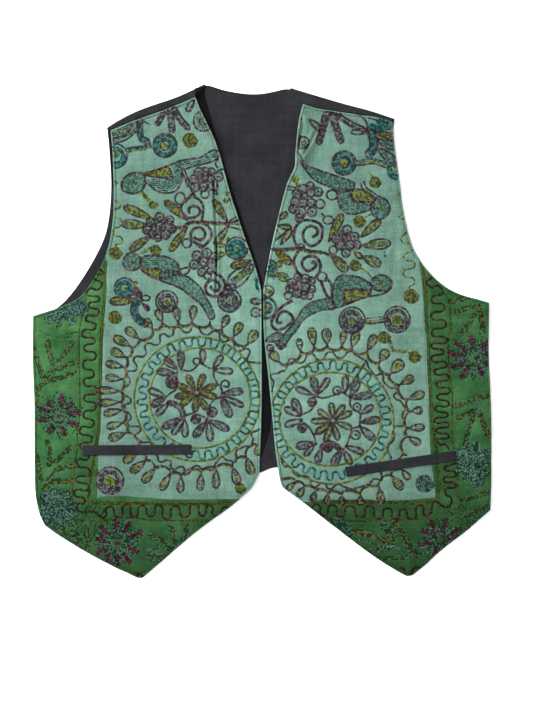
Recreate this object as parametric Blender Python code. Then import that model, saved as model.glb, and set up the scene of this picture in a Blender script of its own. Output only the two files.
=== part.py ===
"""A waistcoat laid flat, front up: back, two bordered fronts and two pocket welts.

Tables and sizes are in millimetres, read as the garment lies: x to the right, y towards the neck.
The objects are in metres, +Z up. The wearer's right front lies at -X.
"""

import bpy
import numpy as np
from mathutils import Vector
from mathutils.geometry import delaunay_2d_cdt

MM = 0.001

# Cloth and the room between the pieces
BACK_WALL = 1.5
FRONT_WALL = 2.0
WELT_WALL = 1.2
GAP = 0.3

# Welts: the strips that stand in for the pockets' mouths
WELT_WIDTH = 12.0

# The shoulder fold, where the back turns over onto the front: radius of the wall's middle
FOLD_RADIUS = 1.1
FOLD_TURNS = 3
SHOULDER_COLUMNS = 14

# The fronts come down to the floor past the back's hem
DROP_START = 3.0
DROP_RUN = 70.0

# Meshing
CHORD = 8.5
LATTICE = 17.0
MITRE_LIMIT = 0.25

# Each edge of a front, in order round it. Columns: x, y
RIGHT_FRONT = {
    "shoulder": [(-80, 281.5), (-116, 267), (-150, 255), (-182.5, 242)],
    "armhole_upper": [(-182.5, 242), (-179.5, 200), (-179.5, 137), (-187.5, 94)],
    "armhole_lower": [(-187.5, 94), (-202.5, 63.5), (-219, 41.5), (-243, 29), (-276, 18)],
    "side": [(-276, 18), (-276.5, -30), (-274.5, -88), (-273.5, -189), (-269, -218), (-262, -234)],
    "hem_outer_upper": [(-262, -234), (-248, -244.5), (-231.5, -255)],
    "hem_outer_lower": [(-231.5, -255), (-221.5, -261.5), (-182, -283), (-150, -298)],
    "hem_inner_lower": [(-144, -298), (-126.5, -283), (-76, -240), (-36, -211), (-27, -203)],
    "hem_inner_upper": [(-27, -203), (-12, -189), (-3, -171)],
    "opening": [(-3, -171), (-0.7, -114.5), (0, -77), (-0.3, 18), (-0.7, 48)],
    "neckline": [(-0.7, 48), (-6.5, 73), (-19.5, 110), (-38, 166), (-54, 223), (-75.5, 270),
                 (-80, 281.5)],
    "seam_side": [(-187.5, 94), (-188.5, 25), (-191, -11), (-193.5, -75), (-197.5, -163), (-199, -201)],
    "seam_hem": [(-199, -201), (-172, -199), (-112, -203), (-27, -203)],
}
LEFT_FRONT = {
    "shoulder": [(49.5, 273.5), (68, 268), (110, 261.5), (144, 256.5), (158, 251.5)],
    "armhole_upper": [(158, 251.5), (160, 223), (165, 188), (170.5, 145), (179.5, 107), (190.5, 85)],
    "armhole_lower": [(190.5, 85), (207, 65), (225.5, 50.5), (244, 42.5), (259, 38.5), (274, 34)],
    "side": [(274, 34), (273.5, -23), (276.5, -107), (276.5, -183), (275.5, -216)],
    "hem_outer_upper": [(275.5, -216), (262, -228), (249.5, -239)],
    "hem_outer_lower": [(249.5, -239), (212, -268.5), (196.5, -283), (181, -295)],
    "hem_inner_lower": [(175, -296), (165, -291), (139, -275), (101, -247), (49, -206.5)],
    "hem_inner_upper": [(49, -206.5), (24, -187.5), (21.5, -179.5)],
    "opening": [(21.5, -179.5), (16.5, -147), (12.5, -105), (8, -59), (2, -1), (1.2, 47)],
    "neckline": [(1.2, 47), (8, 86), (17, 127), (30.5, 178), (39.5, 198), (40, 212), (44.5, 254),
                 (49.5, 273.5)],
    "seam_side": [(190.5, 85), (195, 36), (199.5, -26), (201.5, -75), (202.5, -133), (207, -180),
                  (209.5, -201)],
    "seam_hem": [(209.5, -201), (153, -205), (113, -203.5), (49, -206.5)],
}

# The back's own edges. Its sides lie under the fronts' side edges. Columns: x, y
BACK = {
    "shoulder_right": [(-69, 297.5), (-101, 282.5), (-148, 266), (-176, 252), (-187, 244.5)],
    "armhole_right": [(-187, 244.5), (-184.5, 223), (-182, 170), (-187.5, 121), (-202.5, 86.5),
                      (-228, 47), (-247.5, 27.5), (-274, 15)],
    "hem": [(-266, -214), (-200, -202), (-100, -185), (-30, -176), (-2, -171), (10, -166), (20, -164),
            (100, -173), (190, -190), (273, -212)],
    "armhole_left": [(272.5, 26), (259, 33), (222, 47), (191, 74), (175, 105), (166, 145), (161, 188),
                     (156.5, 223), (160, 255)],
    "shoulder_left": [(160, 255.5), (130, 265.5), (98, 274), (50.5, 288), (34.5, 293)],
    "neck": [(34.5, 293), (-4.5, 285.5), (-38, 288.5), (-69, 297.5)],
}
SIDE_INSET = 1.5

# Largest folds of the fronts: a ridge from one end to the other.
# Columns: x0, y0, x1, y1, rise, half width
FOLDS = [
    (-62.5, 167, -55.5, 50, 2.6, 7),
    (-266, -7, -218, -8, 1.8, 8),
    (-198, -266, -120, -272, 1.8, 9),
    (47, 206, 70, 252, 3.4, 8),
    (86, 257, 132, 238, 2.2, 8),
    (150, -266, 208, -262, 1.8, 9),
]
FOLD_TAPER = 12.0
FOLD_STEP = 10.0

# Welts, along their middle lines. Columns: x0, y0, x1, y1
WELTS = {
    "welt_right": (-216, -144, -85, -143),
    "welt_left": (101, -170, 233, -150.5),
}

# Columns: red, green, blue in sRGB, roughness
MATERIALS = {
    "field_cloth": (0.45, 0.66, 0.57, 0.85),
    "border_cloth": (0.21, 0.46, 0.24, 0.85),
    "charcoal_cloth": (0.19, 0.18, 0.21, 0.9),
}


def spline(points, before=None, after=None, step=CHORD):
    """Points along a smooth curve through the given ones, about a step apart, both ends included."""
    p = np.array(points, float)
    first = p[0] * 2 - p[1] if before is None else np.array(before, float)
    last = p[-1] * 2 - p[-2] if after is None else np.array(after, float)
    p = np.vstack([first, p, last])
    path = []
    for i in range(1, len(p) - 2):
        a, b, c, d = p[i - 1 : i + 3]
        length = np.linalg.norm(c - b)
        lead_in = (c - a) * length / (np.linalg.norm(c - b) + np.linalg.norm(b - a))
        lead_out = (d - b) * length / (np.linalg.norm(d - c) + np.linalg.norm(c - b))
        pieces = max(1, round(length / step))
        for t in np.arange(pieces) / pieces:
            path.append(
                b * (2 * t**3 - 3 * t**2 + 1)
                + lead_in * (t**3 - 2 * t**2 + t)
                + c * (3 * t**2 - 2 * t**3)
                + lead_out * (t**3 - t**2)
            )
    return np.array(path + [p[-2]])


def joined(*edges):
    """One closed outline from edges that follow each other, without doubled corners."""
    outline = []
    for edge in edges:
        for point in edge:
            if not outline or np.linalg.norm(point - outline[-1]) > 1.0:
                outline.append(point)
    if np.linalg.norm(outline[0] - outline[-1]) < 1.0:
        outline.pop()
    return np.array(outline)


def inset(outline, distance):
    """A counter-clockwise outline moved inwards by a distance."""
    ahead = np.roll(outline, -1, axis=0) - outline
    ahead /= np.linalg.norm(ahead, axis=1)[:, None]
    inward = np.stack([-ahead[:, 1], ahead[:, 0]], axis=1)
    both = inward + np.roll(inward, 1, axis=0)
    square = np.maximum((both * both).sum(axis=1), MITRE_LIMIT)
    return outline + 2 * distance * both / square[:, None]


def is_inside(outline, points):
    """For each point, whether it lies inside the outline."""
    a, b = outline, np.roll(outline, -1, axis=0)
    x, y = points[:, None, 0], points[:, None, 1]
    crosses = (a[:, 1] > y) != (b[:, 1] > y)
    rise = np.where(b[:, 1] == a[:, 1], 1.0, b[:, 1] - a[:, 1])
    at = a[:, 0] + (y - a[:, 1]) / rise * (b[:, 0] - a[:, 0])
    return (crosses & (x < at)).sum(axis=1) % 2 == 1


def distance_to(outline, points):
    """Each point's distance to an outline."""
    a, b = outline, np.roll(outline, -1, axis=0)
    along = b - a
    t = ((points[:, None] - a) * along).sum(axis=2) / (along * along).sum(axis=1)
    nearest = a + t.clip(0, 1)[:, :, None] * along
    return np.linalg.norm(points[:, None] - nearest, axis=2).min(axis=1)


def lattice(outline, clear_of):
    """Points of a triangular lattice inside an outline, clear of its edge and of other points."""
    low, high = outline.min(axis=0), outline.max(axis=0)
    row = LATTICE * 0.866
    points = [
        (low[0] + (i + 0.5 * (j % 2)) * LATTICE, low[1] + j * row)
        for j in range(int((high[1] - low[1]) / row) + 2)
        for i in range(int((high[0] - low[0]) / LATTICE) + 2)
    ]
    points = np.array(points)
    points = points[is_inside(outline, points)]
    points = points[distance_to(outline, points) > 0.5 * LATTICE]
    if len(clear_of):
        apart = np.linalg.norm(points[:, None] - clear_of, axis=2).min(axis=1)
        points = points[apart > 0.45 * LATTICE]
    return points


def triangulated(outline, within):
    """Vertices, triangles and each outline point's vertex, for an outline with points inside it."""
    given = [Vector(p) for p in np.vstack([outline, within])]
    count = len(outline)
    edges = [(i, (i + 1) % count) for i in range(count)]
    found = delaunay_2d_cdt(given, edges, [], 0, 1e-4)
    vertices = np.array([tuple(v) for v in found[0]])
    triangles = np.array([tuple(f) for f in found[2]])
    triangles = triangles[is_inside(outline, vertices[triangles].mean(axis=1))]
    a, b, c = (vertices[triangles[:, i]] for i in range(3))
    turn = np.cross(np.pad(b - a, ((0, 0), (0, 1))), np.pad(c - a, ((0, 0), (0, 1))))[:, 2]
    triangles[turn < 0] = triangles[turn < 0][:, ::-1]
    place = {old: new for new, olds in enumerate(found[3]) for old in olds}
    return vertices, triangles, [place[i] for i in range(count)]


def rim_edges(triangles):
    """The edges that only one triangle has, in that triangle's direction."""
    edges = {tuple(e) for t in triangles for e in ((t[0], t[1]), (t[1], t[2]), (t[2], t[0]))}
    return sorted(e for e in edges if (e[1], e[0]) not in edges)


def solid(name, top, bottom, triangles, material):
    """One closed wall between a top and a bottom surface that share their triangles."""
    n = len(top)
    faces = [tuple(int(i) for i in t) for t in triangles]
    faces += [tuple(int(i) + n for i in t[::-1]) for t in triangles]
    for a, b in rim_edges(triangles):
        faces += [(int(a), int(a) + n, int(b) + n), (int(a), int(b) + n, int(b))]
    mesh = bpy.data.meshes.new(name)
    mesh.from_pydata([Vector(p) * MM for p in np.vstack([top, bottom])], [], faces)
    mesh.materials.append(material)
    mesh.validate()
    body = bpy.data.objects.new(name, mesh)
    bpy.context.scene.collection.objects.link(body)
    return body


def raised(flat, height):
    return np.column_stack([flat, np.broadcast_to(height, len(flat))])


def smoothstep(t):
    t = np.clip(t, 0.0, 1.0)
    return t * t * (3 - 2 * t)


def fold_rise(points):
    """How far the folds lift the fronts at each point."""
    rise = np.zeros(len(points))
    for x0, y0, x1, y1, height, half in FOLDS:
        start, end = np.array([x0, y0]), np.array([x1, y1])
        length = np.linalg.norm(end - start)
        along = (end - start) / length
        t = (points - start) @ along
        side = np.abs((points - start) @ np.array([-along[1], along[0]]))
        ends = smoothstep((np.minimum(t, length - t) + FOLD_TAPER) / FOLD_TAPER)
        rise = np.maximum(rise, height * ends * (1 - smoothstep(side / half)))
    return rise


def fold_points(outline):
    """Points along each fold's crest and feet, so that the facets keep its shape."""
    points = []
    for x0, y0, x1, y1, _, half in FOLDS:
        start, end = np.array([x0, y0]), np.array([x1, y1])
        length = np.linalg.norm(end - start)
        along = (end - start) / length
        across = np.array([-along[1], along[0]])
        for s in np.linspace(0, length, round(length / FOLD_STEP) + 1):
            points += [start + along * s + across * side for side in (-half, 0, half)]
        points += [start - along * FOLD_TAPER, end + along * FOLD_TAPER]
    points = np.array(points)
    points = points[is_inside(outline, points)]
    return points[distance_to(outline, points) > 3.5]


def under_front(points):
    """The height of the fronts' underside: on the back, and down to the floor past its hem."""
    hem = spline(BACK["hem"])
    beyond = np.interp(points[:, 0], hem[:, 0], hem[:, 1]) - points[:, 1]
    lying = (BACK_WALL + GAP) * (1 - smoothstep((beyond - DROP_START) / DROP_RUN))
    return lying + fold_rise(points)


def front_edges(table):
    """A front's edges as smooth paths. Edges that run on into each other share their direction."""
    runs_on = {
        "armhole_upper": (None, "armhole_lower"),
        "armhole_lower": ("armhole_upper", None),
        "hem_outer_upper": (None, "hem_outer_lower"),
        "hem_outer_lower": ("hem_outer_upper", None),
        "hem_inner_lower": (None, "hem_inner_upper"),
        "hem_inner_upper": ("hem_inner_lower", None),
    }
    edges = {}
    for name, points in table.items():
        earlier, later = runs_on.get(name, (None, None))
        before = table[earlier][-2] if earlier else None
        after = table[later][1] if later else None
        edges[name] = spline(points, before, after)
    edges["shoulder"] = evenly(edges["shoulder"], SHOULDER_COLUMNS + 1)
    corner, foot = table["seam_hem"][0], table["hem_outer_upper"][-1]
    edges["mitre"] = spline([corner, foot])
    return edges


def panel(name, outline, material):
    """A cut piece of a front as a wall that lies on the back."""
    if turns_clockwise(outline):
        outline = outline[::-1]
    outline = inset(outline, GAP / 2)
    folds = fold_points(outline)
    within = np.vstack([folds, lattice(outline, folds)])
    flat, triangles, _ = triangulated(outline, within)
    under = under_front(flat)
    return solid(name, raised(flat, under + FRONT_WALL), raised(flat, under), triangles, material)


def turns_clockwise(outline):
    after = np.roll(outline, -1, axis=0)
    return (outline[:, 0] * after[:, 1] - after[:, 0] * outline[:, 1]).sum() < 0


def front(side, table, field, border):
    """The three cut pieces of one front: centre panel, side strip and mitred hem strip."""
    e = front_edges(table)
    centre = joined(e["shoulder"], e["armhole_upper"], e["seam_side"], e["seam_hem"],
                    e["hem_inner_upper"], e["opening"], e["neckline"])
    strip = joined(e["armhole_lower"], e["side"], e["hem_outer_upper"], e["mitre"][::-1],
                   e["seam_side"][::-1])
    hem = joined(e["mitre"], e["hem_outer_lower"], e["hem_inner_lower"], e["seam_hem"][::-1])
    return [
        panel(f"front_{side}_centre", centre, field),
        panel(f"front_{side}_side_border", strip, border),
        panel(f"front_{side}_hem_border", hem, border),
    ]


def evenly(path, count):
    """A path read again at evenly spaced points."""
    lengths = np.linalg.norm(np.diff(path, axis=0), axis=1)
    along = np.concatenate([[0], np.cumsum(lengths)])
    at = np.linspace(0, along[-1], count)
    return np.stack([np.interp(at, along, path[:, k]) for k in range(2)], axis=1)


def shoulder_line(fold, reach):
    """The points where the back starts to turn over, inside the fold's outer line by the wall."""
    fold = evenly(spline(fold), SHOULDER_COLUMNS + 1)
    chord = fold[-1] - fold[0]
    outward = np.array([-chord[1], chord[0]]) / np.linalg.norm(chord)
    if outward[1] < 0:
        outward = -outward
    return fold - outward * reach, outward


def back(material):
    """The back: flat on the floor, turned over at each shoulder to meet the fronts' top edges."""
    reach = FOLD_RADIUS + BACK_WALL / 2
    right, out_right = shoulder_line(BACK["shoulder_right"], reach)
    left, out_left = shoulder_line(BACK["shoulder_left"], reach)
    inward = np.array([SIDE_INSET, 0])
    side_right = spline(RIGHT_FRONT["side"])[:-2] + inward
    side_left = spline(LEFT_FRONT["side"])[::-1] - inward
    side_right = side_right[side_right[:, 1] > BACK["hem"][0][1]]
    side_left = side_left[side_left[:, 1] > BACK["hem"][-1][1]]
    armhole_right = np.vstack([right[-1], spline(BACK["armhole_right"])[1:]])
    armhole_left = np.vstack([spline(BACK["armhole_left"])[:-1], left[0]])
    neck = np.vstack([left[-1], spline(BACK["neck"])[1:-1], right[0]])
    outline = joined(right, armhole_right, side_right[1:], spline(BACK["hem"]), side_left[:-1],
                     armhole_left, left, neck)
    flat, triangles, place = triangulated(outline, lattice(outline, []))
    middle = raised(flat, BACK_WALL / 2)
    normals = raised(np.zeros_like(flat), 1.0)
    seams = (
        (right, out_right, spline(RIGHT_FRONT["shoulder"])),
        (left, out_left, spline(LEFT_FRONT["shoulder"])[::-1]),
    )
    for line, outward, seam in seams:
        start = int(np.linalg.norm(outline - line[0], axis=1).argmin())
        row = [place[(start + i) % len(outline)] for i in range(len(line))]
        edge = evenly(seam, len(line)) + outward * GAP
        middle, normals, triangles = turned_over(middle, normals, triangles, row, line, outward, edge)
    half = normals * BACK_WALL / 2
    return solid("back", middle + half, middle - half, triangles, material)


def turned_over(middle, normals, triangles, row, line, outward, edge):
    """Adds rows of cloth round the shoulder fold and back to the seam's edge."""
    out = np.array([outward[0], outward[1], 0.0])
    up = np.array([0.0, 0.0, 1.0])
    base = raised(line, BACK_WALL / 2)
    rows = []
    for turn in range(1, FOLD_TURNS + 1):
        angle = np.pi * turn / FOLD_TURNS
        place = base + out * FOLD_RADIUS * np.sin(angle) + up * FOLD_RADIUS * (1 - np.cos(angle))
        rows.append((place, up * np.cos(angle) - out * np.sin(angle)))
    top = BACK_WALL / 2 + 2 * FOLD_RADIUS
    rows.append((raised(edge, top), -up))
    for place, normal in rows:
        first = len(middle)
        middle = np.vstack([middle, place])
        normals = np.vstack([normals, np.tile(normal, (len(place), 1))])
        new = list(range(first, first + len(place)))
        quads = zip(row[:-1], row[1:], new[1:], new[:-1])
        added = [t for a, b, c, d in quads for t in ((b, a, d), (b, d, c))]
        triangles = np.vstack([triangles, added])
        row = new
    return middle, normals, triangles


def welt(name, material):
    """A pocket welt: a narrow strip made from its front's own surface, moved out."""
    x0, y0, x1, y1 = WELTS[name]
    start, end = np.array([x0, y0]), np.array([x1, y1])
    along = (end - start) / np.linalg.norm(end - start)
    across = np.array([-along[1], along[0]]) * WELT_WIDTH / 2
    middle = spline([start, end])
    outline = np.vstack([middle - across, (middle + across)[::-1]])
    flat, triangles, _ = triangulated(outline, np.zeros((0, 2)))
    under = under_front(flat) + FRONT_WALL + GAP
    return solid(name, raised(flat, under + WELT_WALL), raised(flat, under), triangles, material)


def make_material(name):
    red, green, blue, roughness = MATERIALS[name]
    material = bpy.data.materials.new(name)
    material.use_nodes = True
    shader = material.node_tree.nodes["Principled BSDF"]
    linear = [c / 12.92 if c < 0.04045 else ((c + 0.055) / 1.055) ** 2.4 for c in (red, green, blue)]
    shader.inputs["Base Color"].default_value = (*linear, 1)
    shader.inputs["Roughness"].default_value = roughness
    shader.inputs["Metallic"].default_value = 0.0
    return material


def centred(pieces):
    """Puts the pieces on an empty that brings the middle of their box over the origin."""
    corners = np.array([v.co for piece in pieces for v in piece.data.vertices])
    low, high = corners.min(axis=0), corners.max(axis=0)
    holder = bpy.data.objects.new("waistcoat", None)
    bpy.context.scene.collection.objects.link(holder)
    holder.location = (-(low[0] + high[0]) / 2, -(low[1] + high[1]) / 2, -low[2])
    for piece in pieces:
        piece.parent = holder


def make():
    for old in list(bpy.data.objects):
        bpy.data.objects.remove(old)
    field, border, charcoal = (make_material(name) for name in MATERIALS)
    pieces = [back(charcoal)]
    pieces += front("right", RIGHT_FRONT, field, border)
    pieces += front("left", LEFT_FRONT, field, border)
    pieces += [welt(name, charcoal) for name in WELTS]
    centred(pieces)


make()
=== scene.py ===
import math

import bmesh
import bpy
import numpy as np
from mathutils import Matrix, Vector, bvhtree, geometry, kdtree, noise


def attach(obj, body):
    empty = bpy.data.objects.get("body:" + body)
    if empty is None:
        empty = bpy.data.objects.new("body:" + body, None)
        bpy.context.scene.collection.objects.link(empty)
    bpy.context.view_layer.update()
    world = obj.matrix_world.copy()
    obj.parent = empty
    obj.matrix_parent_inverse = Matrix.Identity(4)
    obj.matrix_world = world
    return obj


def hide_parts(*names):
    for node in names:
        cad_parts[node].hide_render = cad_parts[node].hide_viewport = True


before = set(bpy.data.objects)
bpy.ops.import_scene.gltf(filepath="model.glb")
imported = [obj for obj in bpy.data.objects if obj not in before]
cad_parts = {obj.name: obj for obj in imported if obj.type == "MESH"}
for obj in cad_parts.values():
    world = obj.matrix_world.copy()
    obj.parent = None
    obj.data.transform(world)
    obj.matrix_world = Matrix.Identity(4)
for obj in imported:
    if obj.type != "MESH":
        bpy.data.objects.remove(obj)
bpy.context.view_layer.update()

MM = 0.001

# ---------------------------------------------------------------------------------------------
# The back: one piece of charcoal cotton, lying on the floor. At each shoulder it turns over
# towards the front, so that a strip of it shows above the shoulder seam.
# ---------------------------------------------------------------------------------------------
BACK_THICKNESS = 1.5 * MM
BACK_STEP = 4.0 * MM
BACK_UNDER_STEP = 3 * BACK_STEP
BACK_EDGE_ROWS = [0.8 * MM, 2.2 * MM]
BACK_EDGE_DROP = 0.4 * MM
# The back's waves, each its length across, its length along and its height. They die out
# towards the edge, and none dips below the lowest
BACK_WAVES = [(34 * MM, 80 * MM, 1.6 * MM), (12 * MM, 34 * MM, 0.7 * MM), (6 * MM, 9 * MM, 0.2 * MM)]
WAVES_DIE_OUT = 25 * MM
LOWEST_WAVE = -0.5 * MM
# What of the CAD back lies on the floor, and what of it is the strip above a shoulder seam, by
# how far its faces face down or up and by their height
FACES_DOWN = -0.5
FLOOR_BELOW = 0.2 * MM
FACES_STRAIGHT_UP = 0.9
STRIP_ABOVE = 3.0 * MM
# The strip that turns over each shoulder: the radius of the fold outside and inside, and the
# cloth that it takes. Its rows are their share of the way to the seam, their height in mm, and
# their shares of the puckers and of the neck edge's lift
FOLD_OUTER = 1.85 * MM
FOLD_INNER = 0.35 * MM
FOLD_ROWS = [
    (1, 2.9, 0, 1), (0.97, 3.5, 0.4, 1), (0.8, 3.7, 1, 0.85), (0.5, 3.75, 1, 0.5), (0.2, 3.7, 0.6, 0.15),
]
FOLD_UNDER_ROW = (0.97, 2.2)
PUCKER = 0.25 * MM
PUCKER_TURN = 0.9
# The chart that edges, creases and motifs are drawn on: its square, and the garment's middle
SQUARE = 1.205 * MM
CHART_ORIGIN = (262, 331)
# Where the edges of the neck and the opening stand up: height and reach in mm, then the points
# that the edge runs through on the chart
NECK_LIFT = {
    "right": [
        (4.6, 12, [(199, 96), (204, 114), (210, 134), (216, 150)]),
        (2.2, 11, [(224, 170), (234, 200), (250, 250)]),
        (3.0, 9, [(263, 292), (264, 350), (264, 425)]),
    ],
    "left": [
        (2.6, 12, [(301, 124), (299, 140), (296, 160)]),
        (1.2, 11, [(286, 196), (276, 235), (268, 262)]),
    ],
}
CHARCOAL = (0.0112, 0.0114, 0.0140)
CHARCOAL_WORN = (0.0168, 0.0168, 0.0200)
THREAD_PITCH = 0.9 * MM
# The slubs in a weave: streaks to a metre across and along, and where their pattern starts
SLUBS = [((460, 95, 1), 3.1), ((95, 460, 1), 8.7), ((190, 12, 1), 5.5), ((12, 190, 1), 1.9)]
GRAIN = ((620, 620, 1), 4.4)
GRAIN_SHARE = 2.4
SLUB_HEIGHT = 1.4
# Painted shade in the weave: how much paler a thread's top is than the gaps between threads, where shade
# falls
WEAVE_SHADE = 0.16
# Where in the dye's unevenness the second colour begins and ends, then the cloth's relief and gloss
SECOND_COLOUR = (0.35, 0.7)
RELIEF_STRENGTH = 0.6
CLOTH_ROUGHNESS = 0.9
CLOTH_GLOSS = 0.06
# Where painted shade begins to darken cloth towards the hem, and where it is as dark as it gets
HEM_PAINTED_SHADE = (-0.12, -0.25)
# Where a painted pool of light is palest, how it spreads round that point, and how near and how far it
# reaches
LIGHT_POOL_PLACE = (-0.039, 0.05, 0)
LIGHT_POOL_SCALE = (1.3, 1, 0)
LIGHT_POOL_REACH = (0.08, 0.30)


def merged(name):
    """The corners and the triangles of a CAD sheet, with doubled corners joined."""
    mesh = bmesh.new()
    mesh.from_mesh(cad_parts[name].data)
    bmesh.ops.remove_doubles(mesh, verts=mesh.verts, dist=1e-6)
    mesh.verts.index_update()
    corners = np.array([v.co for v in mesh.verts])
    triangles = np.array([[v.index for v in f.verts] for f in mesh.faces])
    mesh.free()
    return corners, triangles


def facing(corners, triangles):
    """How far each triangle faces up: 1 is straight up, -1 straight down."""
    a, b, c = (corners[triangles[:, i]] for i in range(3))
    normal = np.cross(b - a, c - a)
    return normal[:, 2] / np.maximum(np.linalg.norm(normal, axis=1), 1e-12)


def rims(corners, triangles):
    """The rims of a sheet of triangles, each as its corners in order, the longest first."""
    edges = {tuple(e) for t in triangles for e in ((t[0], t[1]), (t[1], t[2]), (t[2], t[0]))}
    after = {a: b for a, b in edges if (b, a) not in edges}
    loops = []
    while after:
        start, at = after.popitem()
        loop = [start]
        while at != start:
            loop.append(at)
            at = after.pop(at)
        loops.append(corners[loop])
    return sorted(loops, key=len, reverse=True)


def smooth_path(points, step, closed=False):
    """A smooth line through the points, read again about every step."""
    p = np.array(points, float)
    if closed:
        p = np.vstack([p[-1], p, p[0], p[1]])
    else:
        p = np.vstack([2 * p[0] - p[1], p, 2 * p[-1] - p[-2]])
    gap = np.maximum(np.linalg.norm(np.diff(p, axis=0), axis=1), 1e-9)
    path = []
    for i in range(1, len(p) - 2):
        a, b, c, d = p[i - 1 : i + 3]
        lead_in = (c - a) * gap[i] / (gap[i] + gap[i - 1])
        lead_out = (d - b) * gap[i] / (gap[i] + gap[i + 1])
        t = np.arange(max(1, round(gap[i] / step)))[:, None] / max(1, round(gap[i] / step))
        path.append(b * (2 * t**3 - 3 * t**2 + 1) + lead_in * (t**3 - 2 * t**2 + t)
                    + c * (3 * t**2 - 2 * t**3) + lead_out * (t**3 - t**2))
    return np.vstack(path if closed else path + [p[-2:-1]])


# How sharply a rim has to turn, in degrees, for that to be a corner of the cloth
CORNER_TURN = 32


def smooth_rim(loop, step):
    """A rim made smooth between its corners."""
    flat = loop[:, :2]
    ahead = np.roll(flat, -1, axis=0) - flat
    heading = np.arctan2(ahead[:, 1], ahead[:, 0])
    turn = np.abs((heading - np.roll(heading, 1) + math.pi) % (2 * math.pi) - math.pi)
    corners = list(np.where(turn > math.radians(CORNER_TURN))[0])
    parts = []
    for first, last in zip(corners, corners[1:] + [corners[0] + len(flat)]):
        run = flat[[i % len(flat) for i in range(first, last + 1)]]
        parts.append(smooth_path(run, step)[:-1])
    return np.vstack(parts)


def sideways(path):
    """The direction to the left of a path at each of its points."""
    ahead = np.gradient(path, axis=0)
    return np.stack([-ahead[:, 1], ahead[:, 0]], axis=1) / np.linalg.norm(ahead, axis=1)[:, None]


# Keeps a sharp corner from moving too far in
SHARP_LIMIT = 0.5


def moved_in(rim, distance):
    """A counter-clockwise rim moved inwards."""
    ahead = np.roll(rim, -1, axis=0) - rim
    ahead /= np.linalg.norm(ahead, axis=1)[:, None]
    inward = np.stack([-ahead[:, 1], ahead[:, 0]], axis=1)
    both = inward + np.roll(inward, 1, axis=0)
    return rim + 2 * distance * both / np.maximum((both * both).sum(axis=1), SHARP_LIMIT)[:, None]


def inside(rim, points):
    """For each point, whether it lies inside the rim."""
    found = np.zeros(len(points), bool)
    x, y = points[:, 0], points[:, 1]
    for a, b in zip(rim, np.roll(rim, -1, axis=0)):
        if a[1] != b[1]:
            crosses = (a[1] > y) != (b[1] > y)
            found ^= crosses & (x < a[0] + (y - a[1]) / (b[1] - a[1]) * (b[0] - a[0]))
    return found


def distance_to(path, points, closed=True):
    """The distance from each point to the nearest stretch of a path."""
    nearest = np.full(len(points), np.inf)
    ends = np.roll(path, -1, axis=0) if closed else path[1:]
    for a, b in zip(path, ends):
        along = b - a
        t = ((points - a) @ along / max(along @ along, 1e-18)).clip(0, 1)
        nearest = np.minimum(nearest, ((points - a - t[:, None] * along) ** 2).sum(axis=1))
    return np.sqrt(nearest)


def on_cloth(points):
    """Squares of the chart as metres on the garment."""
    return (np.array(points, float) - CHART_ORIGIN) * (SQUARE, -SQUARE)


def lifted(side, points):
    """How far each front's neck edge stands up off the back, most of all near the shoulder."""
    lift = np.zeros(len(points))
    for height, reach, path in NECK_LIFT[side]:
        line_on = on_cloth(smooth_path(path, 3))
        away = distance_to(line_on, points, closed=False) / (reach * MM)
        lift += height * MM * np.exp(-(away**2))
    return lift


# The height of a triangle with three sides of one length
TRIANGLE_HEIGHT = 0.866
# How far the grid and the extra points keep off the rows, and the grid off the extra points, as
# shares of the step, and the share of its own distance from the rim that a row has to keep
GRID_KEEPS_OFF = 0.6
EXTRA_KEEPS_OFF = 0.3
GRID_OFF_EXTRA = 0.35
ROW_KEEPS_OFF = 0.8


def triangulated(rim, rows, step, extra=None):
    """Flat points and triangles that fill a rim: the rim's own, rows along it, extra ones and a grid."""
    low, high = rim.min(axis=0), rim.max(axis=0)
    columns = np.arange(low[0], high[0], step)
    lines = np.arange(low[1], high[1], step * TRIANGLE_HEIGHT)
    grid = np.stack(np.meshgrid(columns, lines), axis=2)
    grid[1::2, :, 0] += step / 2
    grid = grid.reshape(-1, 2)
    grid = grid[inside(rim, grid)]
    grid = grid[distance_to(rim, grid) > (rows[-1] if rows else 0) + GRID_KEEPS_OFF * step]
    edge_rows = [moved_in(rim, d) for d in rows]
    edge_rows = [row[inside(rim, row)] for row in edge_rows]
    edge_rows = [row[distance_to(rim, row) > ROW_KEEPS_OFF * d] for row, d in zip(edge_rows, rows)]
    if extra is not None:
        extra = extra[inside(rim, extra)]
        extra = extra[distance_to(rim, extra) > rows[-1] + EXTRA_KEEPS_OFF * step]
        near = np.array([np.linalg.norm(extra - p, axis=1).min() if len(extra) else 1.0 for p in grid])
        grid = np.vstack([grid[near > GRID_OFF_EXTRA * step], extra])
    given = np.vstack([rim, *edge_rows, grid])
    edges = [(i, (i + 1) % len(rim)) for i in range(len(rim))]
    found = geometry.delaunay_2d_cdt([Vector(p) for p in given], edges, [], 1, 1e-7)
    flat = np.array([tuple(v) for v in found[0]])
    triangles = np.array([tuple(f) for f in found[2]])
    a, b, c = (flat[triangles[:, i]] for i in range(3))
    turn = (b[:, 0] - a[:, 0]) * (c[:, 1] - a[:, 1]) - (b[:, 1] - a[:, 1]) * (c[:, 0] - a[:, 0])
    triangles[turn < 0] = triangles[turn < 0][:, ::-1]
    place = {old: new for new, olds in enumerate(found[3]) for old in olds}
    return flat, triangles, np.array([place[i] for i in range(len(rim))])


# Where in the noise the first wave is read, and how far from it the next one is
NOISE_START = 2.1
NOISE_STEP = 7.3


def ruffle(points, waves):
    """Soft unevenness. Each wave is its length across, its length along and its height."""
    lift = np.zeros(len(points))
    for seed, (across, along, height) in enumerate(waves):
        for i, (x, y) in enumerate(points):
            at = Vector((x / across, y / along, NOISE_STEP * seed + NOISE_START))
            lift[i] += height * noise.noise(at)
    return lift


def placed(name, data):
    """A new object in the scene."""
    made = bpy.data.objects.new(name, data)
    bpy.context.scene.collection.objects.link(made)
    return made


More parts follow.
